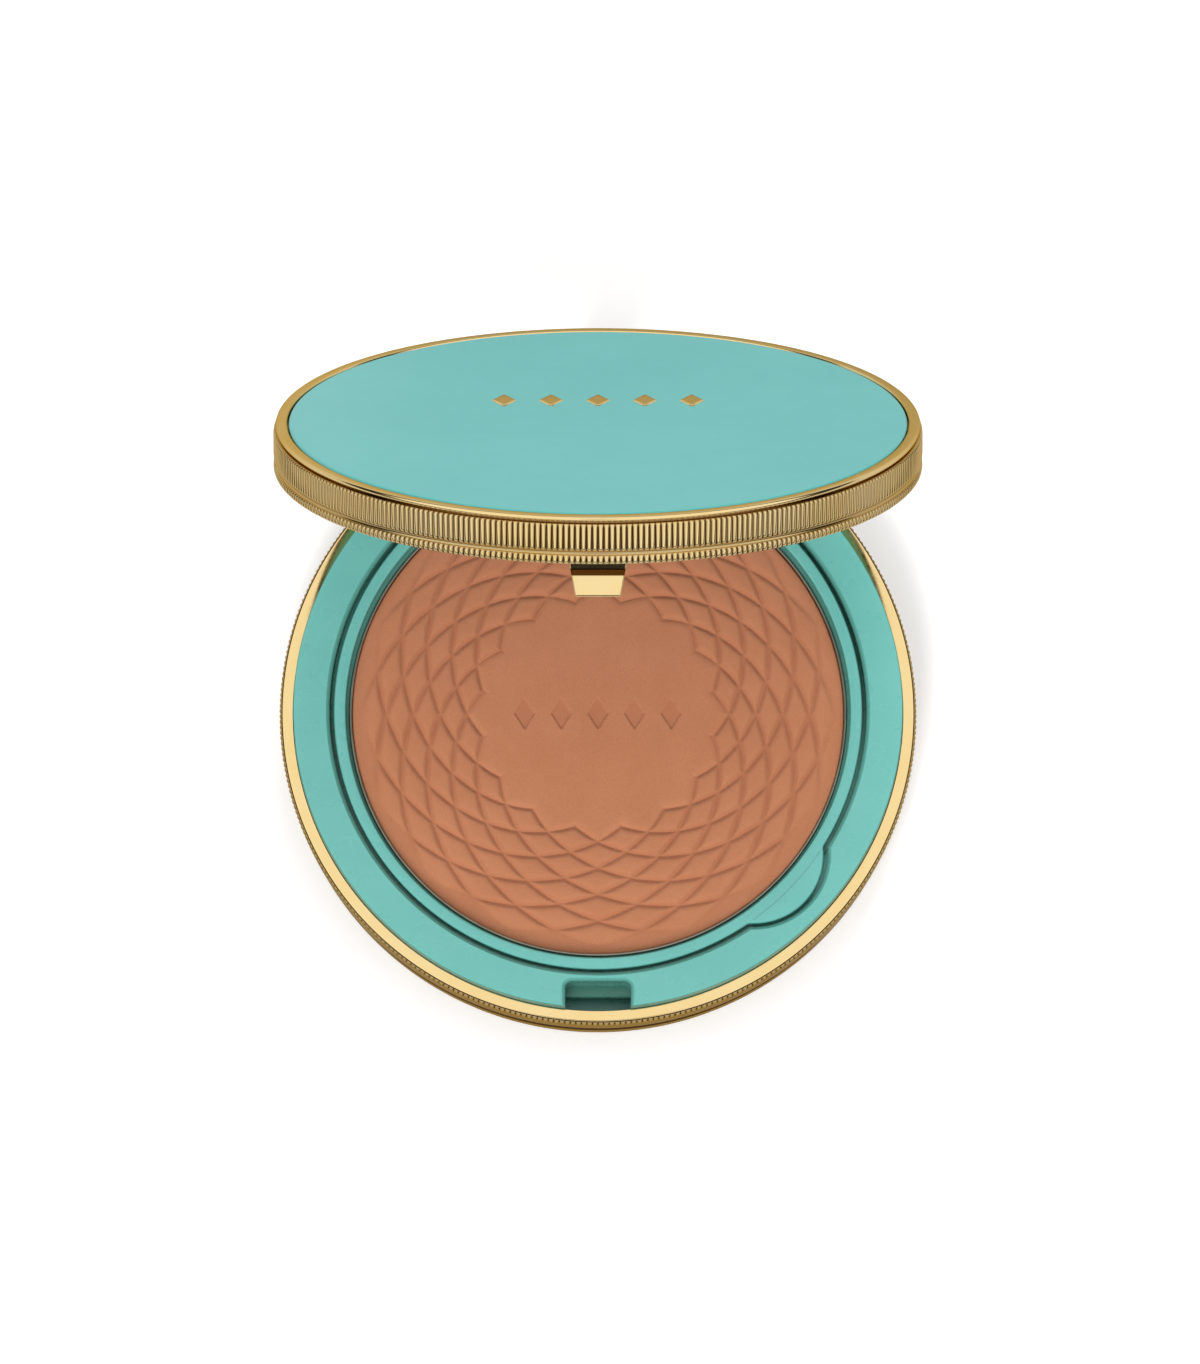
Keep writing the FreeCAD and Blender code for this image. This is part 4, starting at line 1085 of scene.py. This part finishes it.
def make_lamp(name, spot, aim, size, power):
    """A square area lamp that shows neither to the camera nor in reflections."""
    lamp = bpy.data.lights.new(name, "AREA")
    lamp.size = size
    lamp.energy = power
    piece = bpy.data.objects.new(name, lamp)
    bpy.context.scene.collection.objects.link(piece)
    piece.location = spot
    piece.rotation_euler = (Vector(aim) - Vector(spot)).to_track_quat("-Z", "Y").to_euler()
    piece.visible_camera = piece.visible_glossy = False


def make_floor():
    """Paper that the camera sees near white, and that lights the object as a mid grey."""
    mesh = bpy.data.meshes.new("floor")
    half = FLOOR_SIZE / 2
    mesh.from_pydata([(-half, -half, 0), (half, -half, 0), (half, half, 0), (-half, half, 0)], [],
                     [(0, 1, 2, 3)])
    floor = bpy.data.objects.new("floor", mesh)
    bpy.context.scene.collection.objects.link(floor)
    paper = Paint("paper")
    paper.set(Roughness=0.9, Specular_IOR_Level=0.1)
    paper.colour(paper.mix(paper.span(paper.noise(40.0), 0, 1), (0.93, 0.93, 0.935, 1),
                           (0.95, 0.95, 0.955, 1)))
    lit = paper.shader
    lit.inputs["Emission Color"].default_value = (1, 1, 1, 1)
    lit.inputs["Emission Strength"].default_value = 0.06
    dim = paper.add("ShaderNodeBsdfDiffuse")
    dim.inputs["Color"].default_value = (0.5, 0.5, 0.51, 1)
    choose = paper.add("ShaderNodeMixShader")
    paper.join(paper.add("ShaderNodeLightPath").outputs["Is Camera Ray"], choose.inputs[0])
    paper.join(dim.outputs[0], choose.inputs[1])
    paper.join(lit.outputs[0], choose.inputs[2])
    paper.join(choose.outputs[0], paper.tree.nodes["Material Output"].inputs["Surface"])
    mesh.materials.append(paper.material)


def make_camera():
    camera = bpy.data.objects.new("camera", bpy.data.cameras.new("camera"))
    bpy.context.scene.collection.objects.link(camera)
    elevation = math.radians(CAMERA_ELEVATION)
    back = Vector((0, -math.cos(elevation), math.sin(elevation)))
    camera.location = CAMERA_TARGET + back * CAMERA_DISTANCE
    camera.rotation_euler = (math.pi / 2 - elevation, 0, 0)
    camera.data.lens = CAMERA_LENS
    camera.data.clip_start, camera.data.clip_end = 0.05, 20
    bpy.context.scene.camera = camera


def make_stage():
    bpy.context.scene.view_settings.view_transform = "Standard"
    make_camera()
    make_world()
    make_floor()
    make_lamp("key", (-0.25, -0.9, 0.9), (0, 0, 0), 0.4, 9.0)
    make_lamp("back", (0.15, 0.9, 0.75), (0, 0, 0.04), 0.5, 5.0)


# ---------------------------------------------------------------- assembly

def carry_over(names, material):
    """Give CAD nodes whose shape is right a finish of their own."""
    for name in names:
        data = frame["nodes"][name].data
        data.materials.clear()
        data.materials.append(material)


def build_all():
    gold, lacquer, plastic = make_gold(), make_lacquer(), make_moulding()
    aluminium = make_metal("pan_aluminium", (150, 146, 132), (172, 168, 154), (0.3, 0.45),
                           (1.0, 1.0, 5.0))
    steel = make_metal("hinge_steel", (150, 150, 152), (180, 180, 182), (0.2, 0.35), (0.3, 3.0, 3.0))
    weight = make_metal("weight_steel", (96, 98, 102), (122, 124, 128), (0.35, 0.55), (1.0, 8.0, 1.0))
    foam = make_soft("adhesive_foam", (44, 45, 47), (62, 63, 66), 0.3, 0.05, (0.8, 0.95))
    foil = make_soft("label_foil", (186, 206, 202), (200, 218, 214), 0.2, 0.003, (0.4, 0.55))
    build_base_rim(gold)
    build_tray(plastic)
    build_cassette(plastic)
    build_underside(plastic, foil)
    build_pan(aluminium)
    build_powder(make_powder())
    build_lid_rim(gold)
    build_panel(lacquer)
    build_ornament(gold)
    build_lid_inside(plastic, make_mirror())
    build_hook(gold)
    build_catch(plastic)
    build_hinge(gold, steel)
    carry_over(["base_weight_plate"], weight)
    carry_over(["pan_adhesive", "mirror_adhesive", "panel_adhesive"], foam)


make_stage()
build_all()
